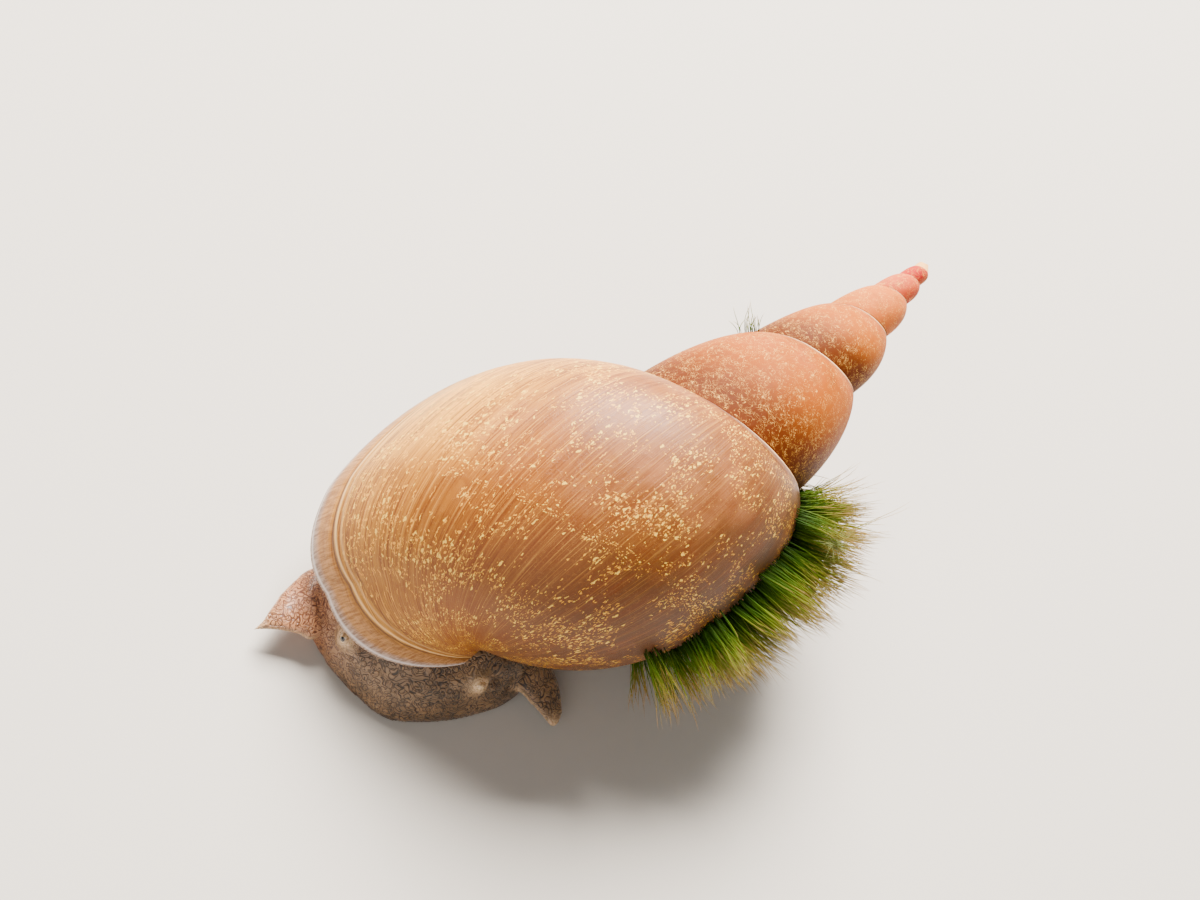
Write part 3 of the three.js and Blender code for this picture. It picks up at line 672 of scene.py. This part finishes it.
def thread_rings(path, side, over, width):
    """The sections of one thread, which follows a path from 0 to 1."""
    rings = []
    for step in range(THREAD_STEPS + 1):
        along = step / THREAD_STEPS
        place = path(along)
        girth = width * (1 - along ** 2) ** 0.5
        ring = []
        for corner in range(4):
            turn = TURN * corner / 3
            spot = place + (side * math.cos(turn) + over * math.sin(turn)) * girth
            ring.append(Vector((spot.x, spot.y, max(spot.z, 0.1 * MM))))
        rings.append(ring)
    return rings


def loose_thread(root, out, lie, length, width, bend, curl):
    """A thread that first follows out and then lie, with a small wave."""
    side = out.cross(lie).normalized()
    over = side.cross(lie).normalized()

    def path(along):
        run = out * along * (1 - 0.45 * along) + lie * along * along * 0.75 + bend * along * along
        wave = side * math.sin(curl + 7 * along) + over * math.cos(1.7 * curl + 6 * along)
        return root + (run + wave * 0.03 * along ** 1.5) * length

    return thread_rings(path, side, over, width)


def lay_threads(name, threads):
    """Makes one piece of all threads, each given as its rings, its patch of the map and its tone."""
    beard = bmesh.new()
    bake = beard.loops.layers.uv.new("OFBake")
    reach = beard.verts.layers.float.new("reach")
    tone = beard.verts.layers.float.new("tone")
    columns = 4 * len(threads) - 1
    laid = bmesh.ops.create_grid(beard, x_segments=columns, y_segments=THREAD_STEPS, size=0.5)["verts"]
    column_of = {vert: round((vert.co.x + 0.5) * columns) for vert in laid}
    gaps = [face for face in beard.faces if min(column_of[vert] for vert in face.verts) % 4 == 3]
    bmesh.ops.delete(beard, geom=gaps, context="FACES")
    for vert, column in column_of.items():
        rings, patch, shade = threads[column // 4]
        step = round((vert.co.y + 0.5) * THREAD_STEPS)
        vert[reach] = step / THREAD_STEPS
        vert[tone] = shade
        for loop in vert.link_loops:
            loop[bake].uv = (patch[0] + 0.001 * (column % 4), patch[1] + 0.003 * vert[reach])
        vert.co = rings[step][column % 4]
    bmesh.ops.remove_doubles(beard, verts=beard.verts[:], dist=1e-8)
    bmesh.ops.holes_fill(beard, edges=[edge for edge in beard.edges if edge.is_boundary], sides=3)
    bmesh.ops.recalc_face_normals(beard, faces=beard.faces[:])
    for face in beard.faces:
        face.smooth = True
    return finish_piece(beard, name, [])


def any_way(size):
    return Vector((random.uniform(-1, 1), random.uniform(-1, 1), random.uniform(-1, 1))) * size


# %% The locks of the beard
LOCKS = 58
LOCK_SEED = 47
LOCK_LENGTH = 5.2
LOCK_HALF_WIDTH = 1.25
THREADS_IN_LOCK = 80
LUCK_STEP, LUCK_RANGE = 16807, 2147483647


def lock_luck(state):
    """The same even chances that place the locks of the solid."""
    while True:
        state = state * LUCK_STEP % LUCK_RANGE
        yield state / LUCK_RANGE


def between(low_end, high_end, share):
    return low_end + (high_end - low_end) * share


def lock_path(place, normal, lie, broad, length, curl, twist):
    """The middle line of a lock, and its two cross directions, at a share of its length."""

    def spine(u):
        middle = place + (normal * u * (1 - 0.45 * u) + lie * 0.75 * u * u + broad * curl * u * u) * length
        flat = (normal * (1 - 0.9 * u) + lie * 1.5 * u).cross(broad).normalized()
        wide = broad * math.cos(twist) + flat * math.sin(twist)
        thin = flat * math.cos(twist) - broad * math.sin(twist)
        return middle, wide, thin

    return spine


def thread_in_lock(spine, normal, share_of_length, across, through_it, stray, curl, width):
    """One thread that keeps its place in the lock at first, then strays and curls at its tip."""
    middle, side, over = spine(0.5)

    def path(along):
        u = along * share_of_length
        middle, wide, thin = spine(u)
        half = LOCK_HALF_WIDTH * between(1, 0.42, u ** 1.5) * MM
        wave = (wide * math.sin(curl + 8 * u) + thin * math.cos(1.7 * curl + 7 * u)) * 0.2 * MM * u ** 1.5
        root = normal * 0.15 * MM if along == 0 else Vector()
        kept = middle + wide * across * half + thin * through_it * 0.42 * MM * (1 + u)
        return kept + wave + stray * u * u - root

    return thread_rings(path, side, over, width)


random.seed(41)
luck = lock_luck(LOCK_SEED)
threads = []
for number in range(LOCKS):
    share = (number + 0.5) / LOCKS
    row = between(0.04, 1.18, share)
    turn = between(-0.62, -0.44, (number * 0.618034) % 1)
    length = LOCK_LENGTH * between(0.82, 1.1, next(luck)) * (1 - 0.25 * share) * MM
    fan = math.radians(12 - 78 * share + between(-14, 14, next(luck)))
    twist = math.radians(between(35, 80, next(luck))) * (1 if number % 2 == 0 else -1)
    curl = between(-0.2, 0.2, next(luck))
    place, out = flank(turn * TURN, row)
    lie = (RIGHT * math.cos(fan) + UP * math.sin(fan) + Vector((0.25, 0, -0.25))).normalized()
    spine = lock_path(place, out, lie, out.cross(lie).normalized(), length, curl, twist)
    age = random.random()
    for _ in range(round(THREADS_IN_LOCK * (1 - 0.5 * share))):
        across, through_it = max(min(random.gauss(0, 0.55), 1.15), -1.15), random.gauss(0, 0.6)
        reach = random.uniform(0.45, 1.0) if random.random() < 0.6 else random.uniform(0.8, 1.03)
        stray, curl_start = any_way(0.6 * MM), random.uniform(0, TURN)
        width = random.uniform(0.028, 0.05) * MM
        rings = thread_in_lock(spine, out, reach, across, through_it, stray, curl_start, width)
        threads.append((rings, (0.5 + turn, row / 2), 0.35 * age + 0.65 * random.random()))
print("threads in locks", len(threads))

# %% Thin tan strands fan out at the top of the beard
for number in range(120):
    root, out = flank(random.uniform(-0.56, -0.44) * TURN, random.uniform(0.02, 0.16))
    fan = math.radians(random.uniform(4, 44))
    lie = (RIGHT * math.cos(fan) + UP * math.sin(fan) + Vector((0.1, 0, -0.1)) + any_way(0.12)).normalized()
    length = random.uniform(2.2, 4.6) * MM
    start, first = root - out * 0.1 * MM, (out + lie * 0.5).normalized()
    rings = loose_thread(start, first, lie, length, 0.032 * MM, any_way(0.2), number)
    threads.append((rings, (0.06, 0.02), random.uniform(0.5, 1.0)))

# %% Three long strays, a pale ball of fluff caught in the beard, and a small tuft above
for number in range(3):
    start = placed(10.2, -20.5 + 0.3 * number, 10.5)
    end = placed(12.4 - 0.2 * number, -9.6 - 1.2 * number, 10.4)
    way = (end - start).normalized()
    lie = (way + any_way(0.1)).normalized()
    length = (end - start).length / 1.3
    rings = loose_thread(start, way, lie, length, 0.03 * MM, any_way(0.05), number)
    threads.append((rings, (0.02, 0.3), 0.9))
fluff = placed(11.2, -23.9, 15.4)
for number in range(170):
    way = any_way(1).normalized()
    lie, length = (way + any_way(1.2)).normalized(), random.uniform(0.35, 0.8) * MM
    rings = loose_thread(fluff + way * 0.12 * MM, way, lie, length, 0.018 * MM, any_way(1.3), number)
    threads.append((rings, (0.03, 0.4), 1.6))
for number in range(26):
    root, out = flank((-1.058 - 0.05 * random.random()) * TURN, 0.04 + 0.1 * random.random())
    lie = (UP + any_way(0.7)).normalized()
    length = random.uniform(0.6, 1.9) * (1.2 if number % 5 == 0 else 0.7) * MM
    rings = loose_thread(root, out, lie, length, 0.034 * MM, any_way(0.3), number)
    threads.append((rings, (0.04, 0.5), 0.35))
beard_piece = lay_threads("Algae", threads)


# %% [markdown]
# ## Finishes
# Every finish is made of nodes. A few small helpers keep them readable: one makes a node and sets its
# values, one mixes two colours, and one turns a value into a colour ramp.

# %% Helpers for finishes
def tint(red, green, blue):
    """A colour from its usual 0 to 255 values, made linear."""
    parts = [c / 255 for c in (red, green, blue)]
    return (*(c / 12.92 if c < 0.0405 else ((c + 0.055) / 1.055) ** 2.4 for c in parts), 1)


class Finish:
    """A material with a Principled shader, and short words for its nodes."""

    def __init__(self, name, **sockets):
        self.material = bpy.data.materials.new(name)
        self.material.use_nodes = True
        self.tree = self.material.node_tree
        self.shader = self.tree.nodes["Principled BSDF"]
        for key, value in sockets.items():
            self.shader.inputs[key.replace("_", " ")].default_value = value

    def node(self, kind, output=0, settings=None, **inputs):
        made = self.tree.nodes.new(kind)
        for key, value in (settings or {}).items():
            setattr(made, key, value)
        for key, value in inputs.items():
            key = int(key[1:]) if key[0] == "i" and key[1:].isdigit() else key.replace("_", " ")
            if isinstance(value, bpy.types.NodeSocket):
                self.tree.links.new(value, made.inputs[key])
            else:
                made.inputs[key].default_value = value
        return made.outputs[output]

    def sum(self, operation, a, b=0.0, c=0.0):
        return self.node("ShaderNodeMath", settings={"operation": operation}, i0=a, i1=b, i2=c)

    def times(self, *values):
        product = values[0]
        for value in values[1:]:
            product = self.sum("MULTIPLY", product, value)
        return product

    def smooth_range(self, value, **limits):
        smooth = {"interpolation_type": "SMOOTHSTEP"}
        return self.node("ShaderNodeMapRange", settings=smooth, Value=value, **limits)

    def near(self, value, middle, width):
        """1 where a value is at the middle, falling to 0 at the width."""
        off = self.sum("ABSOLUTE", self.sum("SUBTRACT", value, middle))
        return self.smooth_range(off, From_Max=width, To_Min=1.0, To_Max=0.0)

    def rise(self, value, start, end, top=1.0):
        """0 at the start, rising to the top at the end."""
        return self.smooth_range(value, From_Min=start, From_Max=end, To_Max=top)

    def ramp(self, value, *stops):
        made = self.node("ShaderNodeValToRGB", Fac=value).node
        for _ in range(len(stops) - 2):
            made.color_ramp.elements.new(0.5)
        for element, (place, colour) in zip(made.color_ramp.elements, stops):
            element.position = place
            element.color = colour if isinstance(colour, tuple) else (colour, colour, colour, 1)
        return made.outputs[0]

    def mix(self, share, a, b, blend="MIX"):
        made = self.tree.nodes.new("ShaderNodeMix")
        made.data_type = "RGBA"
        made.blend_type = blend
        for socket, value in ((made.inputs[0], share), (made.inputs[6], a), (made.inputs[7], b)):
            if isinstance(value, bpy.types.NodeSocket):
                self.tree.links.new(value, socket)
            else:
                socket.default_value = value
        return made.outputs[2]

    def cloud(self, place, scale, detail=2.0, rough=0.5, twist=0.0):
        grain = {"Scale": scale, "Detail": detail, "Roughness": rough, "Distortion": twist}
        return self.node("ShaderNodeTexNoise", Vector=place, **grain)

    def curls(self, place, scale, twist, width):
        """Thin winding lines, where a soft noise crosses its middle."""
        return self.near(self.cloud(place, scale, 0.0, 0.5, twist), 0.5, width)

    def stretched(self, place, x, y, z):
        return self.node("ShaderNodeMapping", Vector=place, Scale=(x, y, z))

    def spots(self, place, x, y, size, seed):
        """Small flecks, one in each cell of a stretched net, and the luck of each cell."""
        moved = self.node("ShaderNodeMapping", Vector=place, Scale=(x, y, 1), Location=(seed, seed, 0))
        flat = {"voronoi_dimensions": "2D"}
        cells = self.node("ShaderNodeTexVoronoi", settings=flat, Vector=moved, Scale=1.0, Randomness=1.0).node
        luck = self.node("ShaderNodeSeparateColor", Color=cells.outputs["Color"]).node
        edge = self.sum("MULTIPLY", self.rise(luck.outputs[1], 0.0, 1.0), size)
        reach = self.sum("ADD", edge, size * 0.5)
        return self.sum("LESS_THAN", cells.outputs["Distance"], reach), luck.outputs[0]

    def attribute(self, name):
        return self.node("ShaderNodeAttribute", output=2, settings={"attribute_name": name})

    def use(self, socket, value):
        self.tree.links.new(value, self.shader.inputs[socket])

    def bump(self, height, strength, distance, under=None):
        made = self.node("ShaderNodeBump", Height=height, Strength=strength, Distance=distance).node
        if under is not None:
            self.tree.links.new(under, made.inputs["Normal"])
        return made.outputs[0]


# %% [markdown]
# ### The shell
# The shell is thin horn-coloured lime: golden near the lip, brown below, rosy on the spire. Part of the
# brown is painted shade: the older end and the lower rows of the last whorl, and the lower rows of the
# spire whorls, are darkened for the side away from the light. Fine growth lines run from suture to foot,
# short golden flecks lie along them, and the lip has a milky rim. All of these follow turns and rows,
# so the colours read the Growth map.

# %% The shell's ground colours
horn = Finish("shell_horn", Coat_Roughness=0.3)
place = horn.node("ShaderNodeUVMap", settings={"uv_map": "Growth"})
solid = horn.node("ShaderNodeTexCoord", output=3)
split = horn.node("ShaderNodeSeparateXYZ", Vector=place).node
turns, rows = split.outputs[0], split.outputs[1]
age = horn.sum("MULTIPLY", turns, -1.0)
back = horn.attribute("back")
is_spire = horn.rise(age, 0.74, 1.0)
is_body = horn.sum("SUBTRACT", 1.0, is_spire)

patches = horn.cloud(solid, 170, 3, 0.55, 0.4)
small_patches = horn.cloud(solid, 620, 3, 0.6, 0.5)
lines = horn.cloud(horn.stretched(place, 600, 2.2, 1), 1.0, 3, 0.65, 0.15)
fine_lines = horn.cloud(horn.stretched(place, 1300, 6.0, 1), 1.0, 1, 0.5, 0.1)
slow_lines = horn.cloud(horn.stretched(place, 90, 2.4, 1), 1.0, 2, 0.5, 0.3)

# Partly painted shade: the last whorl turns from golden to a dark brown towards its older end, and its lower rows
# are mixed towards a darker brown. This is the shell's own browner colour there and also shade on the side and
# bottom away from the light.
body = horn.ramp(
    age,
    (0.0, tint(248, 192, 84)), (0.06, tint(244, 180, 64)), (0.16, tint(166, 102, 36)),
    (0.3, tint(128, 82, 42)), (0.42, tint(70, 44, 26)),
)
below = horn.mix(horn.rise(age, 0.14, 0.32), tint(132, 80, 20), tint(84, 50, 18))
body = horn.mix(horn.rise(rows, 0.5, 1.2, 0.65), body, below)
rosy = horn.times(horn.rise(patches, 0.48, 0.68, 0.5), horn.rise(rows, 1.2, 0.4))
body = horn.mix(rosy, body, tint(186, 124, 88))
spire = horn.ramp(
    horn.sum("DIVIDE", age, 6.0),
    (0.17, tint(168, 88, 2)), (0.36, tint(184, 98, 8)), (0.5, tint(206, 116, 36)),
    (0.66, tint(218, 112, 70)), (0.76, tint(198, 60, 46)),
    (0.89, tint(188, 36, 42)), (0.94, tint(240, 190, 136)),
)
# Painted shade: the lower rows of the younger spire whorls are darkened towards a deep brown, fading out towards
# the apex, for their side away from the light.
shade = horn.times(horn.rise(rows, 0.3, 0.8, 0.9), horn.rise(age, 3.4, 2.4))
spire = horn.mix(shade, spire, tint(84, 36, 2))
rosy = horn.times(horn.rise(patches, 0.46, 0.64, 0.4), horn.rise(rows, 0.5, 0.05))
spire = horn.mix(rosy, spire, tint(200, 112, 84))
colour = horn.mix(is_spire, body, spire)
colour = horn.mix(horn.rise(small_patches, 0.5, 0.72, 0.35), colour, tint(112, 54, 18))

# %% Growth lines, dark and pale
new_shell = horn.ramp(age, (0.0, 1.0), (0.2, 0.8), (0.42, 0.2))
colour = horn.mix(horn.times(horn.rise(slow_lines, 0.5, 0.36, 0.35), is_body), colour, tint(118, 62, 22))
dark_lines = horn.times(horn.rise(lines, 0.49, 0.38, 0.85), is_body, new_shell)
colour = horn.mix(dark_lines, colour, tint(112, 58, 16))
pale_lines = horn.times(horn.rise(lines, 0.54, 0.66, 0.6), is_body, new_shell)
colour = horn.mix(horn.times(pale_lines, 0.75), colour, tint(246, 186, 92))
colour = horn.mix(horn.times(horn.rise(fine_lines, 0.5, 0.35, 0.4), is_body), colour, tint(124, 66, 24))

# %% Golden flecks lie in clusters along the growth lines
cluster = horn.cloud(horn.stretched(place, 16, 5, 1), 1.0, 3, 0.65, 0.4)
wander = horn.node("ShaderNodeTexNoise", output=1, Vector=solid, Scale=3600.0, Detail=1.0)
ragged = horn.mix(0.006, place, wander, "ADD")
big, big_luck = horn.spots(ragged, 230, 22, 0.15, 0.0)
small, small_luck = horn.spots(ragged, 430, 54, 0.2, 3.7)
streak, streak_luck = horn.spots(ragged, 400, 11, 0.14, 8.3)
chance = horn.sum("ADD", horn.rise(cluster, 0.42, 0.62), 0.0)
grown = horn.times(is_body, horn.rise(back, 2.6, 3.4))
big = horn.times(big, horn.sum("LESS_THAN", big_luck, chance), grown)
small = horn.times(small, horn.sum("LESS_THAN", small_luck, chance), grown)
near_lip = horn.ramp(age, (0.0, 0.9), (0.1, 0.5), (0.22, 0.0))
streak = horn.times(streak, horn.sum("LESS_THAN", streak_luck, near_lip), grown)
flecks = horn.sum("MAXIMUM", big, small)
colour = horn.mix(horn.times(streak, 0.75), colour, tint(252, 190, 78))
colour = horn.mix(horn.times(small, 0.85), colour, tint(250, 186, 62))
colour = horn.mix(horn.times(big, 0.95), colour, tint(255, 216, 98))

# %% Fine pale scratches on the spire
scratches = []
for scale, twist, width, gap_scale in ((2300, 1.4, 0.03, 2600), (3200, 2.0, 0.035, 1700)):
    unbroken = horn.rise(horn.cloud(solid, gap_scale, 1.0), 0.44, 0.56)
    scratches.append(horn.times(horn.curls(solid, scale, twist, width), unbroken))
scratches = horn.sum("MAXIMUM", *scratches)
scratched = horn.times(scratches, horn.sum("ADD", horn.times(is_spire, 0.75), 0.1))
colour = horn.mix(scratched, colour, tint(250, 196, 112))

# %% The horny skin over the lime tints it amber
colour = horn.mix(0.8, colour, tint(255, 236, 186), "MULTIPLY")

# %% Suture band and line
band = horn.ramp(rows, (0.0, 1.0), (0.045, 0.9), (0.064, 0.0))
band = horn.times(band, horn.sum("ADD", horn.times(is_body, 0.55), 0.3))
colour = horn.mix(band, colour, tint(118, 88, 80))
band_edge = horn.times(horn.near(rows, 0.07, 0.014), is_body, 0.6)
# Painted shadow: the foot of each spire whorl, just above the next suture, is darkened where the suture's crease
# shades it. The dark line along the lower edge of the body's suture band is mixed in with it.
suture_shadow = horn.times(horn.rise(rows, 0.95, 0.985), is_spire, 0.7)
band_edge_and_suture_shadow = horn.sum("MAXIMUM", band_edge, suture_shadow)
colour = horn.mix(band_edge_and_suture_shadow, colour, tint(84, 38, 14))
line = horn.ramp(rows, (0.0, 1.0), (0.012, 0.95), (0.02, 0.0))
colour = horn.mix(line, colour, tint(246, 200, 150))

# %% The lip: milky rim, tan band, crease and pale ridge
tan_band = horn.rise(back, 2.3, 1.7, 0.8)
ticks = horn.cloud(horn.stretched(place, 60, 90, 1), 1.0, 3, 0.7, 0.3)
tan = horn.mix(horn.rise(ticks, 0.35, 0.65), tint(138, 88, 44), tint(196, 140, 84))
colour = horn.mix(tan_band, colour, tan)
crease = horn.sum("MAXIMUM", horn.near(back, 2.2, 0.16), horn.times(horn.near(back, 3.3, 0.14), 0.5))
colour = horn.mix(horn.times(crease, 0.9), colour, tint(84, 44, 14))
ridge = horn.sum("MAXIMUM", horn.near(back, 2.5, 0.16), horn.times(horn.near(back, 2.95, 0.16), 0.4))
colour = horn.mix(horn.times(ridge, 0.75), colour, tint(250, 204, 132))
milky = horn.rise(back, 1.1, 0.45, 0.85)
milk = horn.mix(horn.rise(ticks, 0.38, 0.6), tint(132, 106, 92), tint(184, 160, 146))
colour = horn.mix(milky, colour, milk)
bright = horn.near(back, 0.26, 0.2)
colour = horn.mix(horn.times(bright, 0.7), colour, tint(232, 222, 222))
inside = horn.sum("LESS_THAN", back, -0.15)
colour = horn.mix(inside, colour, tint(206, 184, 176))
horn.use("Base Color", colour)

# %% The shell's relief and gloss
relief = horn.bump(lines, 0.4, 0.00008)
relief = horn.bump(fine_lines, 0.3, 0.00005, relief)
relief = horn.bump(scratches, 0.25, 0.00004, relief)
relief = horn.bump(flecks, 0.4, 0.00005, relief)
relief = horn.bump(small_patches, 0.25, 0.0001, relief)
relief = horn.bump(horn.sum("ADD", band, horn.times(tan_band, ticks)), 0.3, 0.0001, relief)
horn.use("Normal", relief)
roughness = horn.sum("ADD", horn.times(is_spire, 0.12), 0.36)
horn.use("Roughness", horn.sum("ADD", horn.rise(patches, 0.3, 0.7, 0.14), roughness))
horn.use("Specular IOR Level", horn.sum("SUBTRACT", 0.3, horn.times(is_spire, 0.2)))
horn.use("Coat Weight", horn.times(is_body, 0.08))
shell_piece.data.materials.append(horn.material)

# %% [markdown]
# ### The skin
# The skin is grey brown and wet, with a close net of pale curls and rings about a third of a
# millimetre across, parted by fine dark grooves. It is warmer and paler on the thin right tentacle.
# The grooves are contour lines of a soft noise and the edges of small cells; both give the bump too.

# %% The skin's net of curls
flesh = Finish(
    "wet_skin",
    Roughness=0.42, Coat_Weight=0.15, Coat_Roughness=0.2, Subsurface_Weight=0.1, Subsurface_Scale=0.0004,
)
flesh.shader.inputs["Subsurface Radius"].default_value = (1.0, 0.5, 0.3)
solid = flesh.node("ShaderNodeTexCoord", output=3)
wander = flesh.node("ShaderNodeTexNoise", output=1, Vector=solid, Scale=2600.0, Detail=1.0)
bent = flesh.mix(0.00022, solid, wander, "ADD")
cells = flesh.node("ShaderNodeTexVoronoi", Vector=bent, Scale=2150.0, Randomness=0.9)
rings = flesh.near(cells, 0.5, 0.13)
contours = flesh.sum("PINGPONG", flesh.times(flesh.cloud(solid, 1050, 0.0, 0.5, 1.0), 8.0), 0.5)
grooves = flesh.sum("MAXIMUM", flesh.rise(contours, 0.2, 0.05), flesh.times(rings, 0.8))
net = flesh.sum("SUBTRACT", 1.0, grooves)
broad = flesh.cloud(solid, 420, 3, 0.6)
pale = flesh.attribute("pale")
warm = flesh.attribute("warm")
dark = flesh.mix(flesh.rise(broad, 0.38, 0.62), tint(42, 28, 18), tint(62, 42, 26))
dark = flesh.mix(warm, dark, tint(112, 58, 28))
light = flesh.mix(flesh.rise(broad, 0.36, 0.64), tint(124, 96, 68), tint(158, 124, 90))
light = flesh.mix(warm, light, tint(206, 138, 92))
skin_colour = flesh.mix(flesh.times(net, 0.9), dark, light)
skin_colour = flesh.mix(pale, skin_colour, tint(224, 186, 142))
flesh.use("Base Color", skin_colour)
flesh.use("Normal", flesh.bump(broad, 0.3, 0.0002, flesh.bump(net, 0.7, 0.0001)))
skin_piece.data.materials.append(flesh.material)

# %% Eyes: a dark pupil under clear brown skin
bead = Finish("eye_bead", Roughness=0.08, Coat_Weight=0.8, Coat_Roughness=0.03)
speckle = bead.cloud(bead.node("ShaderNodeTexCoord", output=3), 6000, 2)
around = bead.mix(bead.rise(speckle, 0.4, 0.6), tint(176, 140, 102), tint(220, 186, 140))
bead.use("Base Color", bead.mix(bead.rise(bead.attribute("pupil"), 0.5, 0.42), around, tint(10, 7, 6)))
for eye_piece in eye_pieces:
    eye_piece.data.materials.append(bead.material)

# %% Algae: deep green at the root, tan at the tip
weed = Finish("algae_threads", Roughness=0.6, Subsurface_Weight=0.0)
weed.shader.inputs["Specular IOR Level"].default_value = 0.12
reach = weed.attribute("reach")
tone = weed.attribute("tone")
fresh = weed.ramp(
    reach, (0.0, tint(22, 52, 0)), (0.35, tint(58, 92, 10)), (0.65, tint(108, 124, 24)), (1.0, tint(174, 142, 90))
)
aged = weed.ramp(
    reach, (0.0, tint(34, 58, 2)), (0.4, tint(88, 108, 10)), (0.66, tint(150, 128, 56)), (1.0, tint(192, 146, 96))
)
strands = weed.mix(weed.rise(tone, 0.3, 0.95), fresh, aged)
strands = weed.mix(weed.rise(tone, 1.2, 1.5), strands, tint(158, 168, 104))
weed.use("Base Color", strands)
beard_piece.data.materials.append(weed.material)

# %% [markdown]
# ## Floor, light and camera
# The floor is plain and pale. A broad soft light stands behind and to the left, where it lays a long
# highlight along the shoulder of the shell, and a weak one fills the front. The camera looks down at
# about fifty degrees and is rolled a little, so the shell's axis rises to the right in the image.

# %% Floor
ground = bmesh.new()
bmesh.ops.create_grid(ground, x_segments=1, y_segments=1, size=1.5)
floor_mesh = bpy.data.meshes.new("Floor")
ground.to_mesh(floor_mesh)
ground.free()
floor = bpy.data.objects.new("Floor", floor_mesh)
bpy.context.scene.collection.objects.link(floor)
paper = Finish("pale_floor", Roughness=0.8)
paper.shader.inputs["Base Color"].default_value = tint(206, 200, 192)
floor_mesh.materials.append(paper.material)

# %% Soft lights
def soft_light(name, direction, distance, size, power, colour):
    light = bpy.data.lights.new(name, "AREA")
    light.size = size
    light.energy = power
    light.color = colour
    lamp = bpy.data.objects.new(name, light)
    lamp.location = Vector((0, 0, 0.01)) + Vector(direction).normalized() * distance
    lamp.rotation_mode = "QUATERNION"
    lamp.rotation_quaternion = Vector(direction).to_track_quat("Z", "Y")
    bpy.context.scene.collection.objects.link(lamp)


soft_light("Sky", (-0.44, 0.45, 0.77), 0.5, 0.3, 18.0, (1.0, 0.94, 0.86))
soft_light("Fill", (0.2, -0.85, 0.5), 0.6, 0.5, 1.6, (1.0, 0.96, 0.92))
world = bpy.data.worlds.new("Room")
world.use_nodes = True
world.node_tree.nodes["Background"].inputs[0].default_value = (1, 0.98, 0.96, 1)
world.node_tree.nodes["Background"].inputs[1].default_value = 0.18
bpy.context.scene.world = world

# %% Camera
camera = bpy.data.objects.new("Camera", bpy.data.cameras.new("Camera"))
camera.data.lens = 45
camera.data.sensor_width = 36
camera.data.clip_start = 0.005
camera.data.clip_end = 10
camera.data.dof.use_dof = False
ahead = Vector((-0.20461, 0.60045, -0.77304))
turned = Matrix((RIGHT, UP, -ahead)).transposed().to_4x4()
camera.matrix_world = Matrix.Translation(placed(16.818, -94.995, 94.972)) @ turned
bpy.context.scene.collection.objects.link(camera)
bpy.context.scene.camera = camera
